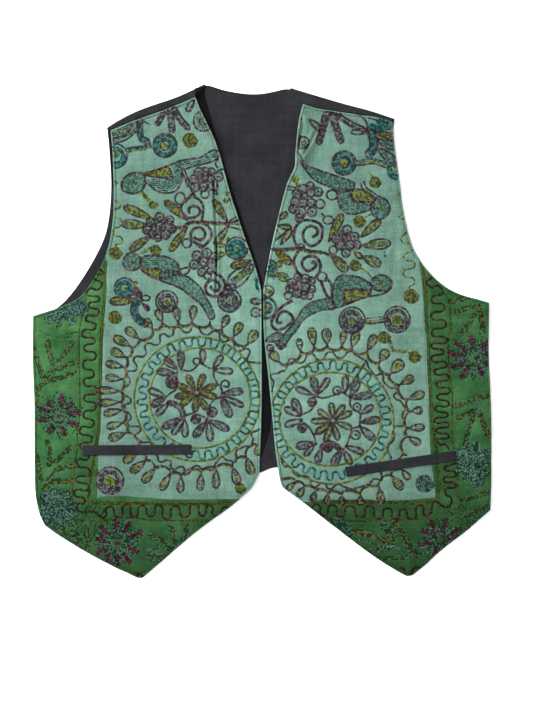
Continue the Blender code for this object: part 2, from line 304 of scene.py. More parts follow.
def shell(name, top, top_faces, top_rim, bottom, bottom_faces, bottom_rim):
    """A closed sheet from its upper face, its under face and the turned edge between them."""
    first = len(top)
    faces = [tuple(int(i) for i in t) for t in top_faces]
    faces += [tuple(int(i) + first for i in t[::-1]) for t in bottom_faces]
    for i in range(len(top_rim)):
        j = (i + 1) % len(top_rim)
        faces.append((int(top_rim[i]), int(bottom_rim[i]) + first,
                      int(bottom_rim[j]) + first, int(top_rim[j])))
    mesh = bpy.data.meshes.new(name)
    mesh.from_pydata([Vector(p) for p in np.vstack([top, bottom])], [], faces)
    mesh.shade_smooth()
    return placed(name, mesh)


def shader_group(name, inputs, outputs):
    """An empty shader node group with named sockets."""
    group = bpy.data.node_groups.new(name, "ShaderNodeTree")
    for label, value in inputs.items():
        socket = group.interface.new_socket(label, in_out="INPUT", socket_type="NodeSocketFloat")
        socket.default_value = value
    for label in outputs:
        group.interface.new_socket(label, in_out="OUTPUT", socket_type="NodeSocketFloat")
    return group


def node(tree, kind, settings=None, **inputs):
    """A node with its settings, and its inputs given as values or as links from other nodes."""
    made = tree.nodes.new(kind)
    for key, value in (settings or {}).items():
        setattr(made, key, value)
    for key, value in inputs.items():
        socket = made.inputs[int(key[1:])] if key[0] == "i" and key[1:].isdigit() else made.inputs[key]
        if isinstance(value, bpy.types.NodeSocket):
            tree.links.new(value, socket)
        else:
            socket.default_value = value
    return made


def sums(tree, operation, a, b=0.0, c=0.0):
    """One sum on values."""
    return node(tree, "ShaderNodeMath", {"operation": operation}, i0=a, i1=b, i2=c).outputs[0]


def make_plain_weave():
    """Plain weave: warp and weft threads of uneven thickness, slubs and slow unevenness of dye."""
    group = shader_group(
        "plain_weave",
        {"Thread pitch": THREAD_PITCH, "Slub": 0.3, "Mottle": 0.4, "Mottle size": 0.03},
        ["Shade", "Patch", "Height"],
    )
    given = group.nodes.new("NodeGroupInput").outputs
    place = group.nodes.new("ShaderNodeTexCoord").outputs["Object"]

    def do(operation, *values):
        return sums(group, operation, *values)

    def streaks(stretch, start):
        turned = node(group, "ShaderNodeMapping", Vector=place, Scale=stretch, Location=(start, 0, 0))
        return node(group, "ShaderNodeTexNoise", {"noise_dimensions": "2D"}, Vector=turned.outputs[0],
                    Scale=1.0, Detail=2.0, Roughness=0.6).outputs["Fac"]

    axes = node(group, "ShaderNodeSeparateXYZ", Vector=place).outputs
    rate = do("DIVIDE", math.pi, given["Thread pitch"])
    across = do("SINE", do("MULTIPLY", axes["X"], rate))
    along = do("SINE", do("MULTIPLY", axes["Y"], rate))
    over = do("MULTIPLY", across, along)
    warp = do("MULTIPLY", do("ABSOLUTE", across), do("GREATER_THAN", over, 0.0))
    weft = do("MULTIPLY", do("ABSOLUTE", along), do("LESS_THAN", over, 0.0))
    weave = do("ADD", warp, weft)
    slubs = streaks(*SLUBS[0])
    for more in SLUBS[1:]:
        slubs = do("ADD", slubs, streaks(*more))
    # Each streak is 0.5 on average, so what they come to is brought back round zero
    slubs = do("SUBTRACT", slubs, 0.5 * len(SLUBS))
    slubs = do("ADD", slubs, do("MULTIPLY_ADD", streaks(*GRAIN), GRAIN_SHARE, -GRAIN_SHARE / 2))
    size = do("DIVIDE", 1.0, given["Mottle size"])
    patch = node(group, "ShaderNodeTexNoise", Vector=place, Scale=size, Detail=4.0, Roughness=0.6)
    patch = patch.outputs["Fac"]
    shade = do("MULTIPLY_ADD", slubs, given["Slub"], 1.0)
    shade = do("ADD", shade, do("MULTIPLY", do("SUBTRACT", patch, 0.5), given["Mottle"]))
    # Painted shade: thread tops paler than the gaps between them
    shade = do("ADD", shade, do("MULTIPLY_ADD", weave, WEAVE_SHADE, -WEAVE_SHADE / 2))
    height = do("ADD", weave, do("MULTIPLY", slubs, SLUB_HEIGHT))
    put = group.nodes.new("NodeGroupOutput").inputs
    for label, value in (("Shade", shade), ("Patch", patch), ("Height", height)):
        group.links.new(value, put[label])
    return group


plain_weave = make_plain_weave()


def tinted(tree, share, first, second):
    """A colour between two others."""
    return node(tree, "ShaderNodeMix", {"data_type": "RGBA"}, i0=share, i6=first, i7=second).outputs[2]


def cloth_material(name, colour, second, slub, mottle, mottle_size, relief=0.3 * MM,
                   hem=1.0, edge_highlight_colour=None, painted_light_pool=None):
    """Woven cotton in one dye. It may carry painted shade towards the hem, a painted highlight along an
    edge and a painted pool of light in the middle.
    """
    material = bpy.data.materials.new(name)
    material.use_nodes = True
    tree = material.node_tree
    shader = tree.nodes["Principled BSDF"]
    weave = tree.nodes.new("ShaderNodeGroup")
    weave.node_tree = plain_weave
    for label, value in (("Slub", slub), ("Mottle", mottle), ("Mottle size", mottle_size)):
        weave.inputs[label].default_value = value
    place = tree.nodes.new("ShaderNodeTexCoord").outputs["Object"]

    def ranged(value, start, end, first=0.0, last=1.0):
        limits = {"i1": start, "i2": end, "i3": first, "i4": last}
        return node(tree, "ShaderNodeMapRange", Value=value, **limits).outputs[0]

    tone = tinted(tree, ranged(weave.outputs["Patch"], *SECOND_COLOUR), (*colour, 1), (*second, 1))
    # Painted shade that darkens the cloth towards the hem
    height = node(tree, "ShaderNodeSeparateXYZ", Vector=place).outputs["Y"]
    shade = ranged(height, *HEM_PAINTED_SHADE, 1.0, hem)
    # A painted pool of light: paler in the middle, darker towards the sides
    if painted_light_pool:
        from_middle = node(tree, "ShaderNodeMapping", Vector=place, Location=LIGHT_POOL_PLACE, Scale=LIGHT_POOL_SCALE)
        away = node(tree, "ShaderNodeVectorMath", {"operation": "LENGTH"}, i0=from_middle.outputs[0])
        shade = sums(tree, "MULTIPLY", shade, ranged(away.outputs["Value"], *LIGHT_POOL_REACH, *painted_light_pool))
    # Painted highlight along the rolled edge, where it catches the light
    if edge_highlight_colour:
        edge_highlight = node(tree, "ShaderNodeAttribute", {"attribute_name": "edge_highlight"}).outputs["Fac"]
        tone = tinted(tree, edge_highlight, tone, (*edge_highlight_colour, 1))
    shaded = node(tree, "ShaderNodeVectorMath", {"operation": "SCALE"}, i0=tone,
                  Scale=sums(tree, "MULTIPLY", weave.outputs["Shade"], shade))
    tree.links.new(shaded.outputs[0], shader.inputs["Base Color"])
    bump = node(tree, "ShaderNodeBump", Height=weave.outputs["Height"], Distance=relief,
                Strength=RELIEF_STRENGTH)
    tree.links.new(bump.outputs[0], shader.inputs["Normal"])
    shader.inputs["Roughness"].default_value = CLOTH_ROUGHNESS
    shader.inputs["Specular IOR Level"].default_value = CLOTH_GLOSS
    return material


def cut_size(rim):
    """The flat size of a cut piece, width and length, and its area."""
    low, high = rim.min(axis=0), rim.max(axis=0)
    x, y = rim[:, 0], rim[:, 1]
    area = 0.5 * abs((x * np.roll(y, -1) - np.roll(x, -1) * y).sum())
    return tuple(float(v) for v in high - low), float(area)


charcoal_cloth = cloth_material("charcoal_cotton", CHARCOAL, CHARCOAL_WORN, 0.30, 0.40, 0.05)

corners, triangles = merged("back")
up = facing(corners, triangles)
heights = corners[triangles][:, :, 2]
lying = triangles[(up < FACES_DOWN) & (heights.max(axis=1) < FLOOR_BELOW)]
rim = smooth_rim(rims(corners, lying)[0][::-1], BACK_STEP)
flat, faces, edge = triangulated(rim, BACK_EDGE_ROWS, BACK_STEP)
lift = ruffle(flat, BACK_WAVES) * np.clip(distance_to(rim, flat) / WAVES_DIE_OUT, 0, 1)
top = np.column_stack([flat, BACK_THICKNESS + np.maximum(lift, LOWEST_WAVE)])
top[edge, 2] -= BACK_EDGE_DROP
under_flat, under_faces, under_edge = triangulated(rim, [], BACK_UNDER_STEP)
bottom = np.column_stack([under_flat, np.zeros(len(under_flat))])
back = shell("back_cloth", top, faces, edge, bottom, under_faces, under_edge)
(width, length), area = cut_size(rim)

for strip in rims(corners, triangles[(up > FACES_STRAIGHT_UP) & (heights.min(axis=1) > STRIP_ABOVE)])[:2]:
    strip = strip[:, :2]
    side = "right" if strip[:, 0].mean() < 0 else "left"
    at_fold = distance_to(rim, strip) < FLOOR_BELOW
    fold = smooth_path(sorted(map(tuple, strip[at_fold])), BACK_STEP)
    seam = np.array(sorted(map(tuple, strip[~at_fold])))
    at = np.linspace(0, 1, len(fold))
    seam = np.stack([np.interp(at, np.linspace(0, 1, len(seam)), seam[:, k]) for k in range(2)], axis=1)
    to_seam, out = seam - fold, sideways(fold)
    profile = [(fold + to_seam * share, height * MM) for share, height, *_ in FOLD_ROWS]
    for radius, angles in ((FOLD_OUTER, np.linspace(90, -90, 9)), (FOLD_INNER, (-90, 0, 90))):
        for turn in np.radians(angles):
            profile.append((fold + out * radius * math.cos(turn), FOLD_OUTER + radius * math.sin(turn)))
    profile.append((fold + to_seam * FOLD_UNDER_ROW[0], FOLD_UNDER_ROW[1] * MM))
    places = np.array([np.column_stack([p, np.full(len(p), z)]) for p, z in profile])
    puckers = PUCKER * np.sin(PUCKER_TURN * np.arange(len(fold)))
    for row, (*_, puckered, raised) in zip(places, FOLD_ROWS):
        row[:, 2] += puckered * puckers
        row[:, 2] += raised * lifted(side, row[:, :2])
    places[-1, :, 2] += lifted(side, places[-1, :, :2])
    mesh = bmesh.new()
    mesh.from_mesh(back.data)
    made = [[mesh.verts.new(place) for place in row] for row in places]
    new_faces = []
    for row, after in zip(made, made[1:] + made[:1]):
        for j in range(len(fold) - 1):
            new_faces.append(mesh.faces.new((row[j], row[j + 1], after[j + 1], after[j])))
    new_faces.append(mesh.faces.new([row[0] for row in made]))
    new_faces.append(mesh.faces.new([row[-1] for row in made][::-1]))
    bmesh.ops.recalc_face_normals(mesh, faces=new_faces)
    for face in new_faces:
        face.smooth = True
    mesh.to_mesh(back.data)
    mesh.free()
    strip_width = float(np.linalg.norm(to_seam, axis=1).mean()) + math.pi * FOLD_OUTER
    area += strip_width * float(np.linalg.norm(fold[-1] - fold[0]))
back.data.materials.append(charcoal_cloth)
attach(back, "root")
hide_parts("back")

# ---------------------------------------------------------------------------------------------
# The two fronts: a sea-green centre panel, a dark green strip down the side and a dark green
# pointed strip along the hem, joined by a mitre. They lie on the back, with its charcoal inside.
# ---------------------------------------------------------------------------------------------
FRONT_THICKNESS = 2.0 * MM
FRONT_STEP = 2.6 * MM
FRONT_UNDER_STEP = 3 * FRONT_STEP
# How far a CAD face has to face up to be of the cloth's upper side, and how high above it the
# real cloth's mean height is
FACES_UP = 0.3
FRONT_RISE = 0.1 * MM
FRONT_EDGE_ROWS = [0.6 * MM, 1.5 * MM, 3.2 * MM, 5.0 * MM]
FRONT_EDGE_DROP = 0.75 * MM
# How far the under face's edge lies below the upper one's, as a share of the thickness
UNDER_EDGE = 0.9
# The share of its own height that a corner keeps each time heights are evened out
OWN_SHARE = 0.4
# The seams between the three pieces: how near them their edges lie, lap and drop
SEAM_NEAR = 1.2 * MM
SEAM_LAP = 0.35 * MM
SEAM_DROP = 0.2 * MM
# The turned edge, and the groove that its stitching draws in
HEM_WIDTH = 2.7 * MM
GROOVE_DEPTH = 0.9 * MM
GROOVE_WIDTH = 0.9 * MM
# The neck edge, on the chart, what lies near it, and how wide and how patchily a painted highlight makes
# it pale where the rolled edge catches the light
NECK_EDGE = {
    "right": [(199, 97), (216, 145), (240, 215), (264, 286), (263, 330)],
    "left": [(302, 100), (298, 150), (282, 205), (265, 270), (263, 330)],
}
NECK_NEAR = 5 * MM
EDGE_HIGHLIGHT_WIDTH = 0.8 * MM
EDGE_HIGHLIGHT_PATCH = 9 * MM
EDGE_HIGHLIGHT_MEAN, EDGE_HIGHLIGHT_SWING, EDGE_HIGHLIGHT_LEAST = 0.45, 1.1, 0.1
FRONT_WAVES = [(45 * MM, 40 * MM, 0.75 * MM), (17 * MM, 15 * MM, 0.45 * MM), (7 * MM, 6 * MM, 0.22 * MM)]
STRIP_WAVES = [(45 * MM, 40 * MM, 0.75 * MM), (15 * MM, 11 * MM, 0.8 * MM), (6 * MM, 4.5 * MM, 0.35 * MM)]
# Where to look for cloth from: high over everything, and the level that the cloth lies at
OVERHEAD = 1.0
CLOTH_LEVEL = 0.004
DOWN = Vector((0, 0, -1))
# A crease dies out towards its ends, to the least share of its depth. It has a low bank beside
# it, as shares of its depth and its half width, and the sharper ones have rows of corners
CREASE_ENDS = 12 * MM
LEAST_CREASE = 0.15
BANK_HEIGHT = 0.45
BANK_PLACE = 1.9
SHARP = 1
CREASE_ROWS = (-2.6, -1.7, -0.9, 0, 0.9, 1.7, 2.6)
# Creases in each front: depth and half width in mm, then the points it runs through on the chart
CREASES = {
    "right": [
        (3.2, 1.4, [(213.5, 174), (213.8, 186), (214.5, 202)]),
        (1.9, 1.5, [(214.2, 194), (215.4, 218), (216.4, 254)]),
        (3.4, 1.4, [(216.4, 240), (216.5, 262), (215.5, 298)]),
        (0.9, 3.0, [(34, 341), (55, 335), (86, 338)]),
        (0.7, 2.6, [(34, 326), (52, 331), (78, 326)]),
        (0.7, 3.0, [(34, 439), (48, 443), (60, 441)]),
        (0.6, 2.6, [(102, 549), (125, 558), (150, 560)]),
        (0.5, 2.6, [(66, 512), (84, 522), (92, 534)]),
        (0.5, 4.0, [(150, 120), (147, 160), (150, 200)]),
        (0.4, 4.0, [(232, 300), (236, 350), (230, 400)]),
    ],
    "left": [
        (1.6, 2.2, [(296, 104), (303, 124), (299, 146), (303, 166)]),
        (3.0, 1.5, [(321, 110), (336, 114.5), (350, 120.5), (366, 130), (374, 139)]),
        (1.8, 1.6, [(352, 112.5), (364, 116), (378, 121), (393, 124)]),
        (1.8, 1.8, [(318, 127), (309, 145), (300, 161)]),
        (0.9, 3.0, [(424, 331), (445, 326), (489, 332)]),
        (0.6, 2.6, [(432, 345), (450, 341), (470, 347)]),
        (0.7, 2.6, [(378, 548), (402, 553), (430, 549)]),
        (0.6, 2.6, [(445, 520), (462, 512), (488, 509)]),
        (0.5, 4.0, [(392, 190), (396, 240), (390, 290)]),
        (0.4, 4.0, [(300, 300), (296, 340), (300, 380)]),
    ],
}
SEA_GREEN = (0.081, 0.154, 0.120)
SEA_GREEN_PALE = (0.103, 0.186, 0.146)
# The painted highlight on the rolled neck edge
SEA_GREEN_EDGE_HIGHLIGHT = (0.235, 0.295, 0.215)
LEAF_GREEN = (0.019, 0.071, 0.021)
LEAF_GREEN_PALE = (0.034, 0.099, 0.034)
# The green strips: each front's shade, partly uneven dye and partly painted shade where less light falls
# on the left front, and the painted shade they have come to at the hem
STRIP_DYE_AND_PAINTED_SHADE = {"right": (1.0, 0.57), "left": (0.84, 0.57)}
# The sea green carries painted shade at the hem, and a painted pool of light makes it paler in the middle
# of the garment than at its sides
SEA_GREEN_HEM_PAINTED_SHADE = 0.80
SEA_GREEN_PAINTED_LIGHT_POOL = (1.13, 0.86)


def heights_on(corners, triangles, points):
    """The height of a CAD sheet's upper face at each point."""
    tree = bvhtree.BVHTree.FromPolygons([Vector(c) for c in corners], triangles.tolist())
    found = []
    for x, y in points:
        hit = tree.ray_cast(Vector((x, y, OVERHEAD)), DOWN)[0]
        if hit is None:
            hit = tree.find_nearest(Vector((x, y, CLOTH_LEVEL)))[0]
        found.append(hit[2])
    return np.array(found)


def settled(height, triangles, passes):
    """Heights evened out over their neighbours."""
    pairs = np.vstack([triangles[:, [0, 1]], triangles[:, [1, 2]], triangles[:, [2, 0]]])
    pairs = np.vstack([pairs, pairs[:, ::-1]])
    count = np.bincount(pairs[:, 0], minlength=len(height))
    for _ in range(passes):
        around = np.bincount(pairs[:, 0], height[pairs[:, 1]], minlength=len(height))
        height = OWN_SHARE * height + (1 - OWN_SHARE) * around / np.maximum(count, 1)
    return height


def creased(side, points):
    """How far the creases of a front lower and lift it at each point."""
    lift = np.zeros(len(points))
    for depth, width, path in CREASES[side]:
        line_on = on_cloth(smooth_path(path, 3))
        away = distance_to(line_on, points, closed=False) / (width * MM)
        ends = np.minimum(*(np.linalg.norm(points - end, axis=1) for end in (line_on[0], line_on[-1])))
        fade = np.clip(ends / CREASE_ENDS, LEAST_CREASE, 1)
        bank = BANK_HEIGHT * np.exp(-((away - BANK_PLACE) ** 2))
        lift += depth * MM * fade * (bank - np.exp(-(away**2)))
    return lift


def along_creases(side):
    """Points beside the sharper creases, so that the mesh can follow them."""
    points = []
    for depth, width, path in CREASES[side]:
        if depth > SHARP:
            middle = on_cloth(smooth_path(path, 1.5))
            points += [middle + sideways(middle) * away * width * MM for away in CREASE_ROWS]
    return np.vstack(points)


def upper_side(name, step):
    """A CAD sheet's corners, the triangles of its upper side and their rim made smooth."""
    corners, triangles = merged(name)
    upper = triangles[facing(corners, triangles) > FACES_UP]
    return corners, upper, smooth_rim(rims(corners, upper)[0], step)


sea_green_cloth = cloth_material("sea_green_cotton", SEA_GREEN, SEA_GREEN_PALE, 0.36, 0.45, 0.035,
                                 hem=SEA_GREEN_HEM_PAINTED_SHADE, edge_highlight_colour=SEA_GREEN_EDGE_HIGHLIGHT, painted_light_pool=SEA_GREEN_PAINTED_LIGHT_POOL)
strip_cloth = {}
# Each front's strips: their dye's tone times painted shade, darkest at the hem
for side, (shade, hem) in STRIP_DYE_AND_PAINTED_SHADE.items():
    tones = [tuple(shade * value for value in tone) for tone in (LEAF_GREEN, LEAF_GREEN_PALE)]
    strip_cloth[side] = cloth_material(f"leaf_green_cotton_{side}", *tones, 0.38, 0.8, 0.03, hem=hem)

PARTS = ("centre", "side_border", "hem_border")
panels = {}
for side in ("right", "left"):
    cads = {part: upper_side(f"front_{side}_{part}", FRONT_STEP) for part in PARTS}
    for part in PARTS:
        name = f"front_{side}_{part}"
        centre = part == "centre"
        corners, upper, outline = cads[part]
        gaps = [distance_to(cads[other][2], outline) for other in PARTS if other != part]
        at_seam = np.minimum(*gaps) < SEAM_NEAR
        rim = np.where(at_seam[:, None], moved_in(outline, -SEAM_LAP), outline)
        waves = FRONT_WAVES if centre else STRIP_WAVES

        flat, faces, edge = triangulated(rim, FRONT_EDGE_ROWS, FRONT_STEP, along_creases(side))
        height = settled(heights_on(corners, upper, flat), faces, passes=6)
        height += ruffle(flat, waves) + creased(side, flat) + lifted(side, flat) + FRONT_RISE
        open_edge = rim[~at_seam]
        from_edge = np.linalg.norm(flat[:, None] - open_edge[None], axis=2).min(axis=1)
        height -= GROOVE_DEPTH * np.exp(-(((from_edge - HEM_WIDTH) / GROOVE_WIDTH) ** 2))
        top = np.column_stack([flat, height])
        under_flat, under_faces, under_edge = triangulated(rim, [], FRONT_UNDER_STEP)
        height = settled(heights_on(corners, upper, under_flat), under_faces, passes=2)
        height += ruffle(under_flat, waves) + lifted(side, under_flat) + FRONT_RISE - FRONT_THICKNESS
        bottom = np.column_stack([under_flat, np.maximum(height, 0)])
        bottom[under_edge, 2] = np.maximum(top[edge, 2] - UNDER_EDGE * FRONT_THICKNESS, 0)
        top[edge, 2] -= np.where(at_seam, SEAM_DROP, FRONT_EDGE_DROP)
        panel = shell(name + "_cloth", top, faces, edge, bottom, under_faces, under_edge)

        # Painted highlight in patches along the rolled neck edge, where it catches the light
        neck_edge = open_edge[distance_to(on_cloth(NECK_EDGE[side]), open_edge, closed=False) < NECK_NEAR]
        edge_highlight = np.zeros(len(panel.data.vertices))
        if len(neck_edge) > 1:
            patches = [noise.noise(Vector((x / EDGE_HIGHLIGHT_PATCH, y / EDGE_HIGHLIGHT_PATCH, 4.0))) for x, y in flat]
            from_neck = distance_to(neck_edge, flat, closed=False)
            patchy = np.clip(EDGE_HIGHLIGHT_MEAN + EDGE_HIGHLIGHT_SWING * np.array(patches), EDGE_HIGHLIGHT_LEAST, 1)
            edge_highlight[: len(top)] = patchy * np.exp(-((from_neck / EDGE_HIGHLIGHT_WIDTH) ** 2))
        panel.data.attributes.new("edge_highlight", "FLOAT", "POINT").data.foreach_set("value", edge_highlight)
        panel.data.materials.append(sea_green_cloth if centre else strip_cloth[side])
        panel.data.materials.append(charcoal_cloth)
        for face in panel.data.polygons[len(faces) : len(faces) + len(under_faces)]:
            face.material_index = 1
        panels[name] = {"piece": panel, "rim": rim, "at_seam": at_seam, "tops": len(top), "faces": faces}
        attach(panel, "root")
        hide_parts(name)
        size, area = cut_size(rim)

# ---------------------------------------------------------------------------------------------
# The shadow facings: near-black strips shaped as cotton that lines each front's edge inside and rolls out
# past it beside the back, widest at the right shoulder. Their near-black is painted shadow, the shade
# there.
# ---------------------------------------------------------------------------------------------
# Painted shadow: the near-black of the strips beside the fronts' raised edges
SHADOW_FACING_BLACK = (0.0030, 0.0030, 0.0040)
SHADOW_FACING_BLACK_PALER = (0.0048, 0.0048, 0.0060)
SHADOW_FACING_REACH = 9.5 * SQUARE
SHADOW_FACING_THICKNESS = 0.35 * MM
# The rows across a facing, as shares of its reach under the front
SHADOW_FACING_ROWS = (0, 0.06, 0.25, 0.5, 0.75, 1)
# How high above the back its outer edge and the rest of it lie, how much more it has risen where
# it ends under the front, and the share of the front's lift that it follows there
SHADOW_FACING_EDGE_ABOVE = 0.15 * MM
SHADOW_FACING_ABOVE = 0.45 * MM
SHADOW_FACING_RISE = 0.2 * MM
SHADOW_FACING_FOLLOWS = 0.6
JUST_ABOVE = 0.05
# Each facing's outer edge, on the chart
SHADOW_FACINGS = {
    "right_neck": [(204.3, 87.5), (204.8, 95), (207.5, 106), (211.6, 120), (215.6, 135), (219.6, 150),
                   (223.9, 163), (230.0, 182), (238.2, 207), (247.6, 235), (256.6, 262), (263, 284)],
    "right_opening": [(265.2, 292), (266.4, 320), (267.6, 350), (269.2, 385), (270.8, 415), (270.6, 426),
                      (267.5, 438), (264.2, 448), (261.5, 458)],
    "right_armhole": [(111.8, 187), (110.9, 172), (109.9, 157), (108.8, 142), (107.6, 129.5)],
    "left_neck": [(297.2, 166), (293.8, 176), (289.2, 190), (281.2, 214), (273.2, 240), (266.4, 263),
                  (263.6, 275)],
}
# Its near-black colour is painted shadow
shadow_facing_cloth = cloth_material("facing_cotton", SHADOW_FACING_BLACK, SHADOW_FACING_BLACK_PALER, 0.2, 0.3, 0.05, 0.2 * MM)
back_top = bvhtree.BVHTree.FromPolygons([v.co.copy() for v in back.data.vertices],
                                        [list(p.vertices) for p in back.data.polygons])
for name, path in SHADOW_FACINGS.items():
    side = name.split("_")[0]
    edge_line = on_cloth(smooth_path(path, 2.0))
    under = sideways(edge_line) * (-1 if side == "right" else 1)
    over = []
    for share in SHADOW_FACING_ROWS:
        flat = edge_line + under * share * SHADOW_FACING_REACH
        hits = [back_top.ray_cast(Vector((x, y, JUST_ABOVE)), DOWN)[0] for x, y in flat]
        height = np.array([hit.z if hit else 0.0 for hit in hits])
        height += share * (SHADOW_FACING_FOLLOWS * lifted(side, flat) + SHADOW_FACING_RISE)
        over.append(np.column_stack([flat, height + (SHADOW_FACING_ABOVE if share else SHADOW_FACING_EDGE_ABOVE)]))
    over = np.array(over)
    rows, columns = over.shape[:2]
    grid = np.arange(rows * columns).reshape(rows, columns)
    quads = np.stack([grid[:-1, :-1], grid[1:, :-1], grid[1:, 1:], grid[:-1, 1:]], axis=2).reshape(-1, 4)
    around = np.concatenate([grid[0, :-1], grid[:-1, -1], grid[-1, :0:-1], grid[:0:-1, 0]])
    sides = [(a, b, b + grid.size, a + grid.size) for a, b in zip(around, np.roll(around, -1))]
    mesh = bmesh.new()
    places = np.vstack([over.reshape(-1, 3), over.reshape(-1, 3) - (0, 0, SHADOW_FACING_THICKNESS)])
    corners = [mesh.verts.new(place) for place in places]
    for face in [*quads, *(quads[:, ::-1] + grid.size), *sides]:
        mesh.faces.new([corners[i] for i in face]).smooth = True
    bmesh.ops.recalc_face_normals(mesh, faces=mesh.faces)
    data = bpy.data.meshes.new(f"facing_{name}")
    mesh.to_mesh(data)
    mesh.free()
    data.materials.append(shadow_facing_cloth)
    piece = placed(f"facing_{name}", data)
    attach(piece, "root")
    length = float(np.linalg.norm(np.diff(edge_line, axis=0), axis=1).sum())

# ---------------------------------------------------------------------------------------------
# The welts: a folded strip of charcoal cotton stitched down over each pocket's mouth.
# ---------------------------------------------------------------------------------------------
WELT_THICKNESS = 1.2 * MM
WELT_STEP = 2.0 * MM
WELT_UNDER_STEP = 2 * WELT_STEP
WELT_EDGE_ROWS = [0.5 * MM, 1.2 * MM]
WELT_EDGE_DROP = 0.5 * MM
WELT_RISE = 0.3 * MM
WELT_WAVES = [(30 * MM, 8 * MM, 0.6 * MM), (6 * MM, 5 * MM, 0.25 * MM)]
# Its ends slant, so its cut is a little wider than its area over its length
for side in ("right", "left"):
    name = f"welt_{side}"
    corners, upper, rim = upper_side(name, WELT_STEP)
    flat, faces, edge = triangulated(rim, WELT_EDGE_ROWS, WELT_STEP)
    height = settled(heights_on(corners, upper, flat), faces, passes=4)
    top = np.column_stack([flat, height + ruffle(flat, WELT_WAVES) + WELT_RISE])
    top[edge, 2] -= WELT_EDGE_DROP
    under_flat, under_faces, under_edge = triangulated(rim, [], WELT_UNDER_STEP)
    bottom = np.column_stack([under_flat, heights_on(corners, upper, under_flat) - WELT_THICKNESS])
    welt = shell(name + "_cloth", top, faces, edge, bottom, under_faces, under_edge)
    welt.data.materials.append(charcoal_cloth)
    panels[name] = {"piece": welt, "tops": len(top), "faces": faces}
    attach(welt, "root")
    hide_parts(name)
    area = cut_size(rim)[1]
    length = float(np.linalg.norm(rim[:, None] - rim[None], axis=2).max())

# ---------------------------------------------------------------------------------------------
# The medallions: a rosette in two olive rings on each front, with a ring of waves between them
# and a garland of drops outside. All of it is chain stitch, worked in thick cotton thread.
# ---------------------------------------------------------------------------------------------
# One chain stitch of length and width 1: the middle of its thread, and that thread's three sides,
# as how far out and how high each is
LINK = [(-0.52, 0.0), (-0.20, 0.30), (0.38, 0.24), (0.38, -0.24), (-0.20, -0.30)]
LINK_THREAD = [(0.22, 0.02), (0.0, 0.36), (-0.22, 0.02)]
# Handwork: how far a stitch may turn aside, in radians, how far its size may vary, and how
# uneven a ring of waves is along it and in its radius
SWAY = 0.16
UNEVEN_SIZE = 0.12
UNEVEN_TURNS = 0.18
UNEVEN_RADIUS = 0.9
RING_FULLNESS = 1.1
# Thread: how fine its fibres are, how deep its twist is, its least and most roughness, its gloss
FIBRES_A_METRE = 2200.0
TWIST_DEPTH = 0.15 * MM
THREAD_ROUGHNESS = (0.48, 0.72)
THREAD_GLOSS = 0.05
# How deep stitches draw the cloth in, how far beside a row that reaches, and how finely the rows
# are read for it
DRAW_DEPTH = 0.6 * MM
DRAW_REACH = 2.8 * MM
DRAW_STEP = 1.5 * MM
# How high a stitch stands: this much and a share of its width
STITCH_HEIGHT = 0.7 * MM
HEIGHT_BY_WIDTH = 0.4
# How finely a row is laid on the cloth, as a share of its stitches' pitch
GUIDE_STEP = 0.6
# Where a stitch looks for the cloth's edge, which it keeps off, and the fewest points in a stretch
EDGE_REACHES = (1.4 * MM, 2.4 * MM)
EDGE_WAYS = [Vector(way) for way in ((1, 0, 0), (0, 1, 0), (-1, 0, 0), (0, -1, 0))]
SHORTEST_STRETCH = 3
# Each thread: its colour, its paler stretches' colour and share (partly uneven dye, partly painted sheen
# highlight), its stitches' pitch, length and width in mm, and the gap between rows of it in squares of
# the chart
THREADS = {
    "plum": ((0.022, 0.009, 0.014), (0.098, 0.061, 0.080), 0.28, 2.5, 2.4, 2.8, 1.6),
    "dusk": ((0.017, 0.009, 0.015), (0.120, 0.106, 0.124), 0.34, 2.3, 2.0, 2.1, 1.6),
    "mauve": ((0.024, 0.012, 0.020), (0.140, 0.128, 0.148), 0.36, 2.3, 1.8, 1.8, 1.8),
    "olive": ((0.036, 0.040, 0.001), (0.150, 0.166, 0.010), 0.40, 2.4, 2.1, 2.1, 1.6),
    "gold": ((0.056, 0.061, 0.002), (0.130, 0.143, 0.012), 0.45, 2.4, 2.3, 2.8, 1.6),
    "bronze": ((0.020, 0.019, 0.001), (0.105, 0.104, 0.006), 0.42, 2.4, 2.1, 2.2, 1.6),
    "ochre": ((0.024, 0.019, 0.001), (0.104, 0.088, 0.008), 0.40, 2.3, 2.0, 2.1, 1.6),
    "teal": ((0.002, 0.030, 0.033), (0.026, 0.122, 0.118), 0.40, 2.4, 2.3, 2.8, 1.8),
    "grey": ((0.024, 0.013, 0.022), (0.130, 0.118, 0.138), 0.38, 2.4, 1.9, 1.8, 1.8),
    "bird": ((0.005, 0.026, 0.021), (0.062, 0.150, 0.128), 0.36, 2.2, 1.8, 1.9, 1.8),
    "wine": ((0.015, 0.002, 0.005), (0.056, 0.012, 0.022), 0.22, 2.6, 2.5, 3.0, 1.6),
    "moss": ((0.020, 0.018, 0.001), (0.062, 0.058, 0.004), 0.45, 2.5, 1.9, 1.9, 1.6),
    "pine": ((0.002, 0.010, 0.009), (0.062, 0.125, 0.104), 0.42, 1.9, 1.5, 1.7, 1.9),
    "slate": ((0.004, 0.022, 0.019), (0.115, 0.185, 0.172), 0.42, 1.9, 1.5, 1.4, 1.9),
    "leaf": ((0.006, 0.026, 0.009), (0.030, 0.090, 0.034), 0.35, 2.2, 2.1, 1.5, 1.6),
    "berry": ((0.028, 0.001, 0.010), (0.104, 0.016, 0.047), 0.33, 2.2, 1.9, 2.0, 1.5),
}


